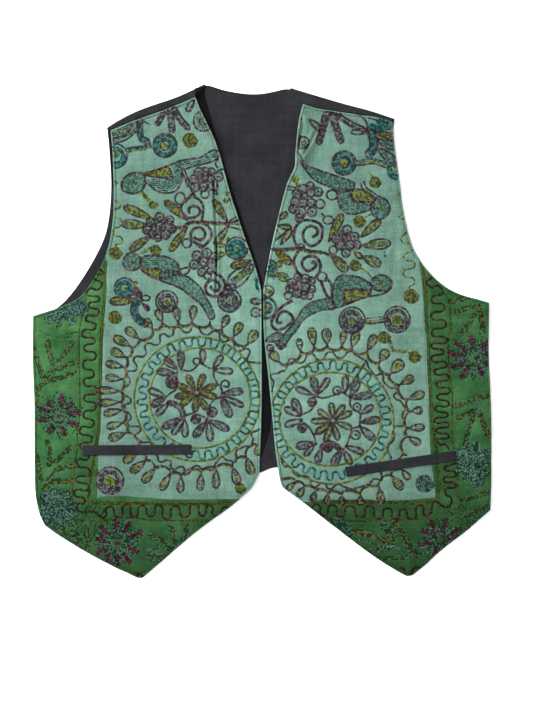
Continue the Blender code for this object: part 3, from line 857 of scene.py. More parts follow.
# In squares of the chart: how finely a row is read, the shortest row in a filled shape, the width
# of a row, where the two rows of a vine lie, and how tightly a coil is worked at its middle
LINE_STEP = 0.8
SHORTEST_ROW = 1.5
ROW = 1.6
VINE_ROWS = (-0.5, 0.5)
COIL_MIDDLE = 0.2
# How many points a ring has, and a turn of a coil, which has a least number of turns
RING_POINTS = 28
COIL_POINTS = 16
LEAST_TURNS = 0.75
# The points of a leaf's outline and what its bulge comes to, and how clear of it the rows inside
# it are: a least distance and a share of its width
DROP_POINTS = 25
DROP_BULGE = 0.77
LEAF_CLEAR = 1.1
LEAF_CLEAR_SHARE = 0.30
# In squares of the chart, what lies how far outside the core of a disc or a wheel and inside its
# rim, how a berry and the middle of a flower are worked, and the edges and rows of a band
DISC_COIL, DISC_RING, DISC_CORE = 1.0, 1.1, -0.4
WHEEL_RING, WHEEL_CORE, SPOKE_ENDS = 0.9, -0.6, (1.0, 1.8)
BERRY_RING, BERRY_COIL, BERRY_MIDDLE = 0.4, 1.9, 0.1
FLOWER_BASE, FLOWER_RING, FLOWER_COIL = 3.2, 3.1, 1.7
BAND_EDGES, BAND_ROW = 2.6, 1.7
# The angles that a band's rounded end is read at
BAND_END = (25, 60, 90, 120, 155)


def line(work, thread, points, closed=False):
    """One row of chain stitch through points on the chart."""
    points = np.array(points, float).reshape(-1, 2)
    path = smooth_path(points, LINE_STEP, closed) if len(points) > 2 else points
    work.setdefault(thread, []).append(path[:-1] if closed else path)


def loop(work, thread, points):
    """One row of chain stitch that comes back to its start."""
    line(work, thread, points, closed=True)


def slope(start, end):
    """The angle of a line on the chart."""
    return math.degrees(math.atan2(end[1] - start[1], end[0] - start[0]))


def fill(work, thread, shape, lean, clear=1.2):
    """Rows of chain stitch side by side inside a shape, leaning by an angle on the chart."""
    c, s = math.cos(math.radians(lean)), math.sin(math.radians(lean))
    turn = np.array([[c, -s], [s, c]])
    turned = np.array(shape, float).reshape(-1, 2) @ turn
    low, high = turned[:, 1].min() + clear, turned[:, 1].max() - clear
    count = max(1, round((high - low) / THREADS[thread][6]) + 1)
    for y in np.linspace(low, high, count) if count > 1 else [(low + high) / 2]:
        a, b = turned, np.roll(turned, -1, axis=0)
        cut = (a[:, 1] > y) != (b[:, 1] > y)
        x = np.sort(a[cut, 0] + (y - a[cut, 1]) / (b[cut, 1] - a[cut, 1]) * (b[cut, 0] - a[cut, 0]))
        for start, end in zip(x[::2], x[1::2]):
            if end - start > 2 * clear + SHORTEST_ROW:
                line(work, thread, np.array([(start + clear, y), (end - clear, y)]) @ turn.T)


def ring(work, thread, table):
    """A round or an oval. Columns: x, y, the radius across and the radius along if it is another."""
    angle = np.linspace(0, 2 * math.pi, RING_POINTS, endpoint=False)
    x, y, across, along = [*table, table[2]][:4]
    loop(work, thread, np.stack([x + across * np.cos(angle), y + along * np.sin(angle)], axis=1))


def coil(work, thread, table):
    """A flat coil. Columns: x, y, the radius of its outer turn and of its inner one."""
    x, y, outer, inner = table
    turns = max(LEAST_TURNS, (outer - inner) / THREADS[thread][6])
    angle = np.linspace(0, turns * 2 * math.pi, max(COIL_POINTS // 2, int(turns * COIL_POINTS)))
    radius = outer + (inner - outer) * angle / angle[-1]
    line(work, thread, np.stack([x + radius * np.cos(angle), y + radius * np.sin(angle)], axis=1))


def discs(work, edge, inside, core, table):
    """Round motifs: a ring, a coil inside it and a core. Columns: x, y, radius, core's radius."""
    for x, y, radius, middle in np.reshape(table, (-1, 4)):
        ring(work, edge, [x, y, radius])
        if radius - ROW > middle + ROW / 2 and inside != "none":
            coil(work, inside, [x, y, radius - ROW, middle + DISC_COIL])
            ring(work, inside, [x, y, middle + DISC_RING])
        coil(work, core, [x, y, middle + DISC_CORE, COIL_MIDDLE])


def wheels(work, edge, inside, core, table):
    """Round flowers: a ring, spokes in it and a core. Columns: x, y, radius, core's radius."""
    for x, y, radius, middle in np.reshape(table, (-1, 4)):
        ring(work, edge, [x, y, radius])
        ring(work, edge, [x, y, middle + WHEEL_RING])
        coil(work, core, [x, y, middle + WHEEL_CORE, COIL_MIDDLE])
        count = round(math.pi * (radius + middle) / THREADS[inside][6])
        for angle in np.arange(count) * 2 * math.pi / count:
            out = np.array((math.cos(angle), math.sin(angle)))
            ends = np.array([[radius - SPOKE_ENDS[0]], [middle + SPOKE_ENDS[1]]])
            line(work, inside, np.array((x, y)) + ends * out)


def berries(work, edge, inside, table):
    """Round berries in a bunch. Columns: x, y, radius."""
    for x, y, radius in np.reshape(table, (-1, 3)):
        ring(work, edge, [x, y, radius - BERRY_RING])
        if inside != "none":
            coil(work, inside, [x, y, radius - BERRY_COIL, BERRY_MIDDLE])


def drop(base, tip, width):
    """The outline of a leaf or a petal: pointed at its base and round at its tip."""
    base, tip = np.array(base, float), np.array(tip, float)
    along = tip - base
    across = np.array([-along[1], along[0]]) / np.linalg.norm(along) * width / 2
    angle = np.linspace(0, 2 * math.pi, DROP_POINTS)[:-1]
    bulge = np.sin(angle) * np.sin(angle / 2) / DROP_BULGE
    return base + ((1 - np.cos(angle)) / 2)[:, None] * along + bulge[:, None] * across


def leaves(work, edge, inside, table):
    """Leaves, each an outline with rows of another thread in it. Columns: base x, y, tip x, y, width."""
    for x0, y0, x1, y1, width in np.reshape(table, (-1, 5)):
        shape = drop((x0, y0), (x1, y1), width)
        loop(work, edge, shape)
        if inside != "none":
            clear = max(LEAF_CLEAR, LEAF_CLEAR_SHARE * width)
            fill(work, inside, shape, slope((x0, y0), (x1, y1)), clear)


def flower(work, edge, inside, table):
    """Petals round a middle. Columns: the middle's x, y, the petals' width, then x, y of every tip."""
    middle, tips = np.array(table[:2]), np.reshape(table[3:], (-1, 2))
    for tip in tips:
        base = middle + FLOWER_BASE * (tip - middle) / np.linalg.norm(tip - middle)
        leaves(work, edge, inside, [*base, *tip, table[2]])
    ring(work, edge, [*middle, FLOWER_RING])
    coil(work, inside, [*middle, FLOWER_COIL, COIL_MIDDLE])


def shape(work, edge, inside, table):
    """Any outline filled with rows. Columns: the rows' lean, then the outline's points."""
    loop(work, edge, table[1:])
    fill(work, inside, smooth_path(np.reshape(table[1:], (-1, 2)), 1.5, True), table[0], clear=1.5)


def patch(work, thread, table):
    """Rows with no outline. Columns: the rows' lean, then the points round them."""
    fill(work, thread, smooth_path(np.reshape(table[1:], (-1, 2)), 1.5, True), table[0], clear=0.7)


def band(work, edge, inside, table):
    """A band edged all round, with rounded ends. Columns: its width, then points along its middle."""
    path = smooth_path(np.reshape(table[1:], (-1, 2)), 1.0)
    half = (table[0] - 1) / 2
    trim = int(half) if len(path) > 4 * half else 0
    path = path[trim:len(path) - trim]
    out = sideways(path)
    ahead = np.stack([out[:, 1], -out[:, 0]], axis=1)
    swing = np.radians(BAND_END)[:, None]
    far = path[-1] + half * (np.sin(swing) * ahead[-1] + np.cos(swing) * out[-1])
    near = path[0] - half * (np.sin(swing) * ahead[0] + np.cos(swing) * out[0])
    loop(work, edge, np.vstack([path + out * half, far, (path - out * half)[::-1], near]))
    count = max(1, round((table[0] - BAND_EDGES) / BAND_ROW))
    for away in np.linspace(-1, 1, count + 2)[1:-1]:
        line(work, inside, path + out * away * half)


# Even steps through half a turn, for arcs and waves
HALF_TURN = np.linspace(0, math.pi, 9)


def wave(work, thread, table, closed=False):
    """A wavy line. Columns: how full its waves are, where 1 bulges like loops, then where they turn."""
    fullness, p = table[0], np.reshape(table[1:], (-1, 2))
    last = len(p) if closed else len(p) - 1
    path = []
    swing = HALF_TURN[:-1]
    for i in range(last):
        a, b = p[i], p[(i + 1) % len(p)]
        before = p[i - 1] if closed or i else 2 * a - b + (p[2] - a)
        after = p[(i + 2) % len(p)] if closed or i + 2 < len(p) else 2 * b - a + (b - p[-3])
        way = (after - a) + (b - before)
        way /= max(np.linalg.norm(way), 1e-9)
        forward = way * ((b - a) @ way)
        share = swing / math.pi + fullness * np.sin(2 * swing) / (2 * math.pi)
        path.append(a + forward * share[:, None] + (b - a - forward) * ((1 - np.cos(swing)) / 2)[:, None])
    line(work, thread, np.vstack(path if closed else path + [p[-1:]]), closed)


def ring_of_waves(work, thread, x, y, inner, outer, count, start):
    """A wavy ring, uneven as handwork is. The waves turn at an inner and an outer radius."""
    hand = np.random.default_rng(count + int(x)).uniform(-1, 1, (2, 2 * count))
    turn = np.arange(2 * count)
    angle = np.radians(start) + (turn + UNEVEN_TURNS * hand[0]) * math.pi / count
    radius = np.where(turn % 2, outer, inner) + UNEVEN_RADIUS * hand[1]
    turns = np.stack([x + radius * np.cos(angle), y + radius * np.sin(angle)], axis=1)
    wave(work, thread, [RING_FULLNESS, *turns.ravel()], closed=True)


def vine(work, thread, points):
    """Two rows of chain stitch side by side."""
    path = smooth_path(np.reshape(points, (-1, 2)), 1.0)
    for away in VINE_ROWS:
        line(work, thread, path + sideways(path) * away)


KINDS = {kind.__name__: kind for kind in (vine, line, loop, ring, coil, wave, band, patch, shape,
                                          leaves, berries, discs, wheels, flower)}


def follow(work, chart):
    """Works a chart. Each entry is the kind of motif, its threads and then its numbers."""
    entries = []
    for word in chart.split():
        if word in KINDS:
            entries.append([word])
        else:
            entries[-1].append(word)
    for kind, *words in entries:
        threads = [word for word in words if word.isalpha()]
        KINDS[kind](work, *threads, [float(word) for word in words[len(threads):]])


def one_stitch(name, mesh):
    """A stitch from its bare faces: turned outwards, cut into triangles and made smooth."""
    bmesh.ops.recalc_face_normals(mesh, faces=mesh.faces)
    bmesh.ops.triangulate(mesh, faces=mesh.faces)
    data = bpy.data.meshes.new(name)
    mesh.to_mesh(data)
    mesh.free()
    data.shade_smooth()
    return bpy.data.objects.new(name, data)


def chain_link():
    """One chain stitch: a loop of thread, narrow where it leaves the last one and round ahead."""
    mesh = bmesh.new()
    rings = []
    for i, (x, y) in enumerate(LINK):
        ahead = Vector(LINK[(i + 1) % len(LINK)]) - Vector(LINK[i - 1])
        out = Vector((-ahead.y, ahead.x)).normalized()
        rings.append([mesh.verts.new((x + out.x * s, y + out.y * s, z)) for s, z in LINK_THREAD])
    for a, b in zip(rings, rings[1:] + rings[:1]):
        for j in range(3):
            mesh.faces.new((a[j], b[j], b[(j + 1) % 3], a[(j + 1) % 3]))
    return one_stitch("chain_link", mesh)


def make_stitch_tree():
    """Puts a stitch at every step along each row, turned along the row and lying on the cloth."""
    tree = bpy.data.node_groups.new("row_of_stitches", "GeometryNodeTree")
    face = tree.interface
    face.new_socket("Rows", in_out="INPUT", socket_type="NodeSocketGeometry")
    for label, kind, value in (("Stitch", "Object", None), ("Step", "Float", MM), ("Length", "Float", MM),
                               ("Width", "Float", MM), ("Depth", "Float", MM),
                               ("Lighter share", "Float", 0.3), ("Seed", "Int", 0),
                               ("Thread", "Material", None), ("Lighter thread", "Material", None)):
        socket = face.new_socket(label, in_out="INPUT", socket_type=f"NodeSocket{kind}")
        if value is not None:
            socket.default_value = value
    face.new_socket("Stitches", in_out="OUTPUT", socket_type="NodeSocketGeometry")
    given = tree.nodes.new("NodeGroupInput").outputs

    def add(kind, settings=None, **inputs):
        return node(tree, kind, settings, **inputs).outputs

    def at_random(kind, output, **inputs):
        return add("FunctionNodeRandomValue", {"data_type": kind}, Seed=given["Seed"], **inputs)[output]

    curve = add("GeometryNodeMeshToCurve", Mesh=given["Rows"])[0]
    curve = add("GeometryNodeResampleCurve", {"mode": "LENGTH"}, Curve=curve, Length=given["Step"])[0]
    up = add("GeometryNodeInputNamedAttribute", {"data_type": "FLOAT_VECTOR"}, Name="up")[0]
    ahead = add("GeometryNodeInputTangent")[0]
    axes = {"primary_axis": "Z", "secondary_axis": "X"}
    turn = add("FunctionNodeAxesToRotation", axes, i0=up, i1=ahead)[0]
    spin = add("ShaderNodeCombineXYZ", Z=at_random("FLOAT", 1, i2=-SWAY, i3=SWAY))[0]
    turn = add("FunctionNodeRotateRotation", {"rotation_space": "LOCAL"}, i0=turn, i1=spin)[0]
    size = add("ShaderNodeCombineXYZ", X=given["Length"], Y=given["Width"], Z=given["Depth"])[0]
    uneven = at_random("FLOAT", 1, i2=1 - UNEVEN_SIZE, i3=1 + UNEVEN_SIZE)
    size = add("ShaderNodeVectorMath", {"operation": "SCALE"}, i0=size, Scale=uneven)[0]
    one = add("GeometryNodeObjectInfo", Object=given["Stitch"])["Geometry"]
    laid = add("GeometryNodeInstanceOnPoints", Points=curve, Instance=one, Rotation=turn, Scale=size)[0]
    # Stitches picked at random take the paler colour: partly uneven dye, partly painted sheen highlight
    lighter = at_random("BOOLEAN", 3, Probability=given["Lighter share"])
    marked = add("GeometryNodeStoreNamedAttribute", {"data_type": "BOOLEAN", "domain": "INSTANCE"},
                 Geometry=laid, Name="lighter", Value=lighter)[0]
    real = add("GeometryNodeRealizeInstances", Geometry=marked)[0]
    dark = add("GeometryNodeSetMaterial", Geometry=real, Material=given["Thread"])[0]
    pale = add("GeometryNodeInputNamedAttribute", {"data_type": "BOOLEAN"}, Name="lighter")[0]
    both = add("GeometryNodeSetMaterial", Geometry=dark, Selection=pale,
               Material=given["Lighter thread"])[0]
    put = tree.nodes.new("NodeGroupOutput")
    tree.links.new(both, put.inputs[0])
    return tree


def thread_material(name, colour):
    """Twisted cotton thread: one dye, a soft sheen and a fine twist."""
    material = bpy.data.materials.new(name)
    material.use_nodes = True
    tree = material.node_tree
    shader = tree.nodes["Principled BSDF"].inputs
    shader["Base Color"].default_value = (*colour, 1)
    shader["Specular IOR Level"].default_value = THREAD_GLOSS
    place = tree.nodes.new("ShaderNodeTexCoord").outputs["Object"]
    fibres = node(tree, "ShaderNodeTexNoise", Vector=place, Scale=FIBRES_A_METRE, Detail=2.0)
    fibres = fibres.outputs["Fac"]
    low, high = THREAD_ROUGHNESS
    rough = node(tree, "ShaderNodeMapRange", Value=fibres, i3=low, i4=high)
    tree.links.new(rough.outputs[0], shader["Roughness"])
    bump = node(tree, "ShaderNodeBump", Height=fibres, Distance=TWIST_DEPTH, Strength=0.5)
    tree.links.new(bump.outputs[0], shader["Normal"])
    return material


def thread_pair(name):
    """The two materials of a thread: its own dye and a paler copy, partly uneven dye and partly painted
    sheen highlight.
    """
    colour, paler = THREADS[name][:2]
    return thread_material(f"{name}_thread", colour), thread_material(f"{name}_thread_pale_dye_and_highlight", paler)


def cloth_tree(names):
    """The upper faces of the named pieces, to lay stitches on."""
    corners, triangles, start = [], [], 0
    for name in names:
        mesh = panels[name]["piece"].data
        tops = panels[name]["tops"]
        corners += [mesh.vertices[i].co.copy() for i in range(tops)]
        triangles += (panels[name]["faces"] + start).tolist()
        start += tops
    return bvhtree.BVHTree.FromPolygons(corners, triangles)


def along_row(points, step):
    """A row's points read again at even steps."""
    gap = np.linalg.norm(np.diff(points, axis=0), axis=1)
    at = np.concatenate([[0], np.cumsum(gap)])
    count = max(2, int(at[-1] / step) + 1)
    where = np.linspace(0, at[-1], count)
    return np.stack([np.interp(where, at, points[:, k]) for k in range(2)], axis=1)


def draw_in(side, work, depth):
    """Lets the stitches pull the cloth down a little, so that it puffs up between them."""
    rows = [path for paths in work.values() for path in paths]
    points = np.vstack([along_row(on_cloth(row), DRAW_STEP) for row in rows])
    tree = kdtree.KDTree(len(points))
    for i, (x, y) in enumerate(points):
        tree.insert((x, y, 0), i)
    tree.balance()
    for part in PARTS:
        panel = panels[f"front_{side}_{part}"]
        mesh = panel["piece"].data
        for i in range(panel["tops"]):
            x, y, z = mesh.vertices[i].co
            away = tree.find((x, y, 0))[2]
            if away < DRAW_REACH:
                mesh.vertices[i].co.z = z - depth * (1 - (away / DRAW_REACH) ** 2) ** 2


def on_edge(cloth, above):
    """Whether the cloth ends close by in any direction."""
    return any(all(cloth.ray_cast(above + reach * way, DOWN)[0] is None for reach in EDGE_REACHES)
               for way in EDGE_WAYS)


def laid_out(paths, step, cloth, cover):
    """Rows laid on cloth. Each stops off the cloth, under a welt and beside the cloth's edge."""
    stretches = []
    for path in paths:
        stretches.append([])
        for x, y in along_row(on_cloth(path), GUIDE_STEP * step):
            above = Vector((x, y, JUST_ABOVE))
            hit, up = cloth.ray_cast(above, DOWN)[:2]
            covered = cover.ray_cast(above, DOWN)[0] is not None
            if hit is None or covered or on_edge(cloth, above):
                stretches.append([])
            else:
                stretches[-1].append((hit, up))
    return [stretch for stretch in stretches if len(stretch) >= SHORTEST_STRETCH]


stitch_tree = make_stitch_tree()
chain = chain_link()
thread_of = {name: thread_pair(name) for name in THREADS}


def sewn(name, paths, thread, side, stitch, seed):
    """Rows of stitches as one piece, lying on a front."""
    share, step, length, width = THREADS[thread][2], *(size * MM for size in THREADS[thread][3:6])
    cloth = cloth_tree([f"front_{side}_{part}" for part in PARTS])
    places, ups, joins = [], [], []
    for stretch in laid_out(paths, step, cloth, cloth_tree([f"welt_{side}"])):
        joins += [(i, i + 1) for i in range(len(places), len(places) + len(stretch) - 1)]
        places += [tuple(hit) for hit, _ in stretch]
        ups += [tuple(up) for _, up in stretch]
    mesh = bpy.data.meshes.new(name)
    mesh.from_pydata(places, joins, [])
    mesh.attributes.new("up", "FLOAT_VECTOR", "POINT").data.foreach_set("vector", np.array(ups).ravel())
    guide = placed(name + "_rows", mesh)
    modifier = guide.modifiers.new("stitches", "NODES")
    modifier.node_group = stitch_tree
    values = {"Stitch": stitch, "Step": step, "Length": length, "Width": width,
              "Depth": STITCH_HEIGHT + HEIGHT_BY_WIDTH * width, "Lighter share": share, "Seed": seed,
              "Thread": thread_of[thread][0], "Lighter thread": thread_of[thread][1]}
    for item in stitch_tree.interface.items_tree:
        if item.in_out == "INPUT" and item.name in values:
            modifier[item.identifier] = values[item.name]
    graph = bpy.context.evaluated_depsgraph_get()
    made = bpy.data.meshes.new_from_object(guide.evaluated_get(graph))
    bpy.data.objects.remove(guide)
    for extra in ("up", "lighter"):
        if extra in made.attributes:
            made.attributes.remove(made.attributes[extra])
    piece = placed(name, made)
    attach(piece, "root")


def embroider(name, side, work, seed, depth=DRAW_DEPTH):
    """Works a chart in chain stitch, with one piece for each thread."""
    draw_in(side, work, depth)
    for thread, paths in work.items():
        sewn(f"{name}_{side}_{thread}", paths, thread, side, chain, seed)


# Each medallion's two gold rings: centre and radii. The teal waves between them: centre, inner and
# outer radius, how many there are, and the angle at which they start
RINGS = {
    "right": [(200, 398, 50.5, 50), (197, 399, 62.8, 62)],
    "left": [(330, 419, 50.8, 46.7), (331.8, 421.6, 61.8, 62.3)],
}
WAVES = {"right": (198.5, 398.5, 52.3, 60.8, 28, 3), "left": (331, 420.5, 51.0, 59.5, 28, 8)}
# Between two drops the rows sag, where the gap isn't too wide: the least sag, the most and its
# share of the gap. An olive row lies inside the plum one
WIDEST_GAP = 26
LEAST_SAG, MOST_SAG, SAG_SHARE = 3.6, 7.0, 0.34
OLIVE_INSIDE = 1.7
# The olive inside a drop: where along it that starts and ends, and its share of the width
FILLING_START, FILLING_END, FILLING_WIDTH = 0.22, 0.9, 0.6
# The drops of each garland. Columns: base x, y, tip x, y, width; width 1 is a gap in the garland
GARLAND = {
    "right": """
    257 445 258 455 7  247 458 252 474 8  233 468 238 484 8  216 470 216 488 7  201 474 200 490 7
    181 477 180 492 7  170 474 161 490 7  154 469 143 482 8  145 461 131 472 8  137 452 124 462 8
    125 433 109 439 8  122 423 107 427 7  121 410 104 414 7  119 402 98 403 7  119 391 98 390 7
    121 379 106 377 7  123 367 106 363 7  125 357 111 350 8  130 346 114 337 8  138 338 126 328 8
    152 328 145 319 7  162 322 157 310 7  178 322 176 308 7  192 320 194 306 7  210 322 210 318 1
    222 328 228 316 7  234 336 241 323 8  248 344 256 331 9""",
    "left": """
    279 362 271 352 8  300 350 299 339 6  314 346 311 328 8  327 344 326 329 9  342 345 344 331 6
    352 347 357 332 8  368 350 375 335 8  380 361 387 350 9  391 373 402 361 11  401 384 413 377 8
    409 399 424 393 8  412 411 422 410 7  409 428 424 427 7  409 437 420 444 7  406 455 407 456 1
    402 470 409 479 6  392 476 402 489 8  379.7 488.5 381.4 504 7.5  360.6 496 360 505 6
    341.6 495.5 342 505 6 327.8 494.5 326.3 503.5 5.5 315.3 491.5 312.4 500.6 5.5 303.8 487.3 298
        496.3 6
    294.5 482.5 287 489.8 5.5  280.7 480.5 281 482 1""",
}
# The rosette inside each ring. An entry is a kind of motif, its threads, then its numbers
ROSETTES = {
    "right": """
    wave plum 0.5 260 363 248 362 249 349.5 235 350.5 233 340.5 222 341 217 331 205 334.5 195 325
        187.5 332.5 176 327 171 336 161.5 334 158.5 344 146 344 145 355 134 358 136.5 369 126.5 373
        130 381.5 122.5 391.5 131 401 122 407 131 417 127.5 424 141 429 135 436.5 141.5 442 150
        442.5 155 449 157 455.5 159 461.5 170 460.5 171.5 468.5 183.5 467 185 475 196.5 465.5 203
        469 213 470 216.5 462 221.5 456.5 228 460.5 235.5 462 237 450 243 447 251.5 446 253 440
        251.5 433.5 259 429
    flower plum olive 196.5 393 6.2 187 375 204 374 216 385 216.5 397 207 409.5 195 411.5 181 405
        175 397 177 385
    leaves plum mauve 177 369 164.3 359.3 6.9 181 369.4 181 351 6.9 174.4 373.1 157 371.3 6.9
        203 364 202.6 349 5.9 213.3 368.5 222 355.6 6.1 214 370 232.5 371.4 6.5
        222.6 393.3 243 390.7 7.1 221.5 396 243.5 406 5.9 220.5 397 230.6 417 7.9
        208.5 420 229 429.8 7.1 208 421 210.6 441 6.7 206 421 194 437 7.1
        184.5 419 185.2 437 6.5 183.5 418 172.6 434.5 6.5 182 417.5 162.4 427.8 6.9
        165 396 148.5 389.8 6.7 166 397 151 405.8 6.9 169 402.5 156 415.5 6.3
    line plum 183 370 190 371 196 367 200 360 196 358 193 361 195 364
    line plum 200 363 204 365 209 368 213 369 214 377 217 383 222 391 220 397 214 400 210 405 209
        413 207 419
    line plum 222 391 221 384 225 380 229 383 228 387 224 386
    line plum 207 420 204 417 198 415 193 417 191 421
    line plum 184 416 190 414 197 411 line plum 166 397 172 392 176 389 176 380 177 372
    berries plum plum 172 382 6.5 212 412 5.2 196 419 5
    band plum grey 5.5 184 418 181 409 174 404 167 403""",
    "left": """
    wave plum 0.5 272 391 273.5 384 271 375 280 372 285.5 370 287.5 363 290 358.5 301 363 310 353.5
        320 360 330 352 340 358 351 351 358 356 366 361 369 368 375 375 382 374 384.5 383 389 387
        397 389 394 397 402 403 405 408 402.5 415 404.5 424 394 428 394 438 387 448 391 459
    wave plum 0.5 381 472 382 480 374 479 367 485 360 487 352 489 344 487 339 484 329 489 324 483
        313 487 308 477 296 475 290 467 284 466 280 456
    flower plum olive 333 421 5.8 344 405 331 403 318 410 311 421 316 433 325 442 338 440 351.5 428
        351.5 412
    leaves plum mauve 312 394.5 296 388 6.3 316.2 393.5 313 377 7.1 318 394 329 378 6.3
        301.5 415 293 399 7.5 300 416 284.5 408 6.7 302 419.5 285 425.5 6.5
        316 443.5 296 446.2 7.5 314.5 445 304.5 455.5 5.5 321.5 448.5 316.5 463 6.9
        341.5 449.5 332.5 465 7.5 343.5 450 351 464 5.9 345.5 446 363.5 452.5 6.3
        359.5 426 374 439.5 7.5 360.5 422.5 380 419 6.9 360.5 414 373 406 6.1
        350.5 398 372 394.5 7.1 350 396 358.5 381.5 6.9 344.5 392 345.5 376.5 6.7
    line plum 314 395 322 398 334 395 341 392 345 394 350 398 350 405 355 411 360 413 360 420 359
        426 352 429 350 436 346 446 343 449
    line plum 340 449 333 444 326 444 321 449 line plum 316 444 314 436 308 426 301 421
    line plum 366 361 359 372 351 384 345 393
    line plum 314 434 320 434 325 430 line plum 301 415 311 410 315 403 314 395
    berries plum plum 312 402 4.6 302 428 4.6 328 448 4.4 ring plum 337 390.5 4.1
    coil plum 337 390.5 1.2 0.2 ring plum 355.5 435 4.4
    coil plum 355.5 435 1.3 0.2 ring plum 357 407 3.9 coil plum 357 407 1.1 0.2
    band plum grey 5.5 321 449 326 444 333 444 340 449""",
}
for side in ("right", "left"):
    work = {}
    for table in RINGS[side]:
        ring(work, "gold", table)
    ring_of_waves(work, "teal", *WAVES[side])
    drops = np.array(GARLAND[side].split(), float).reshape(-1, 5)
    for x0, y0, x1, y1, width in drops[drops[:, 4] > 1]:
        base, tip = np.array((x0, y0)), np.array((x1, y1))
        loop(work, "plum", drop(base, tip, width))
        start, end = base + FILLING_START * (tip - base), base + FILLING_END * (tip - base)
        fill(work, "olive", drop(start, end, FILLING_WIDTH * width), slope(base, tip), clear=0.9)
    for a, b in zip(drops[:, :2], drops[1:, :2]):
        gap = np.linalg.norm(b - a)
        if gap < WIDEST_GAP:
            middle = (a + b) / 2
            inwards = RINGS[side][1][:2] - middle
            inwards /= np.linalg.norm(inwards)
            sag = inwards * min(MOST_SAG, max(LEAST_SAG, SAG_SHARE * gap))
            swing = HALF_TURN[:, None]
            arc = middle - np.cos(swing) * (b - a) / 2 + np.sin(swing) * sag
            line(work, "plum", arc)
            line(work, "olive", arc[1:-1] + inwards * OLIVE_INSIDE * (1, np.sign(inwards[1])))
    follow(work, ROSETTES[side])
    embroider("medallion", side, work, seed=11)

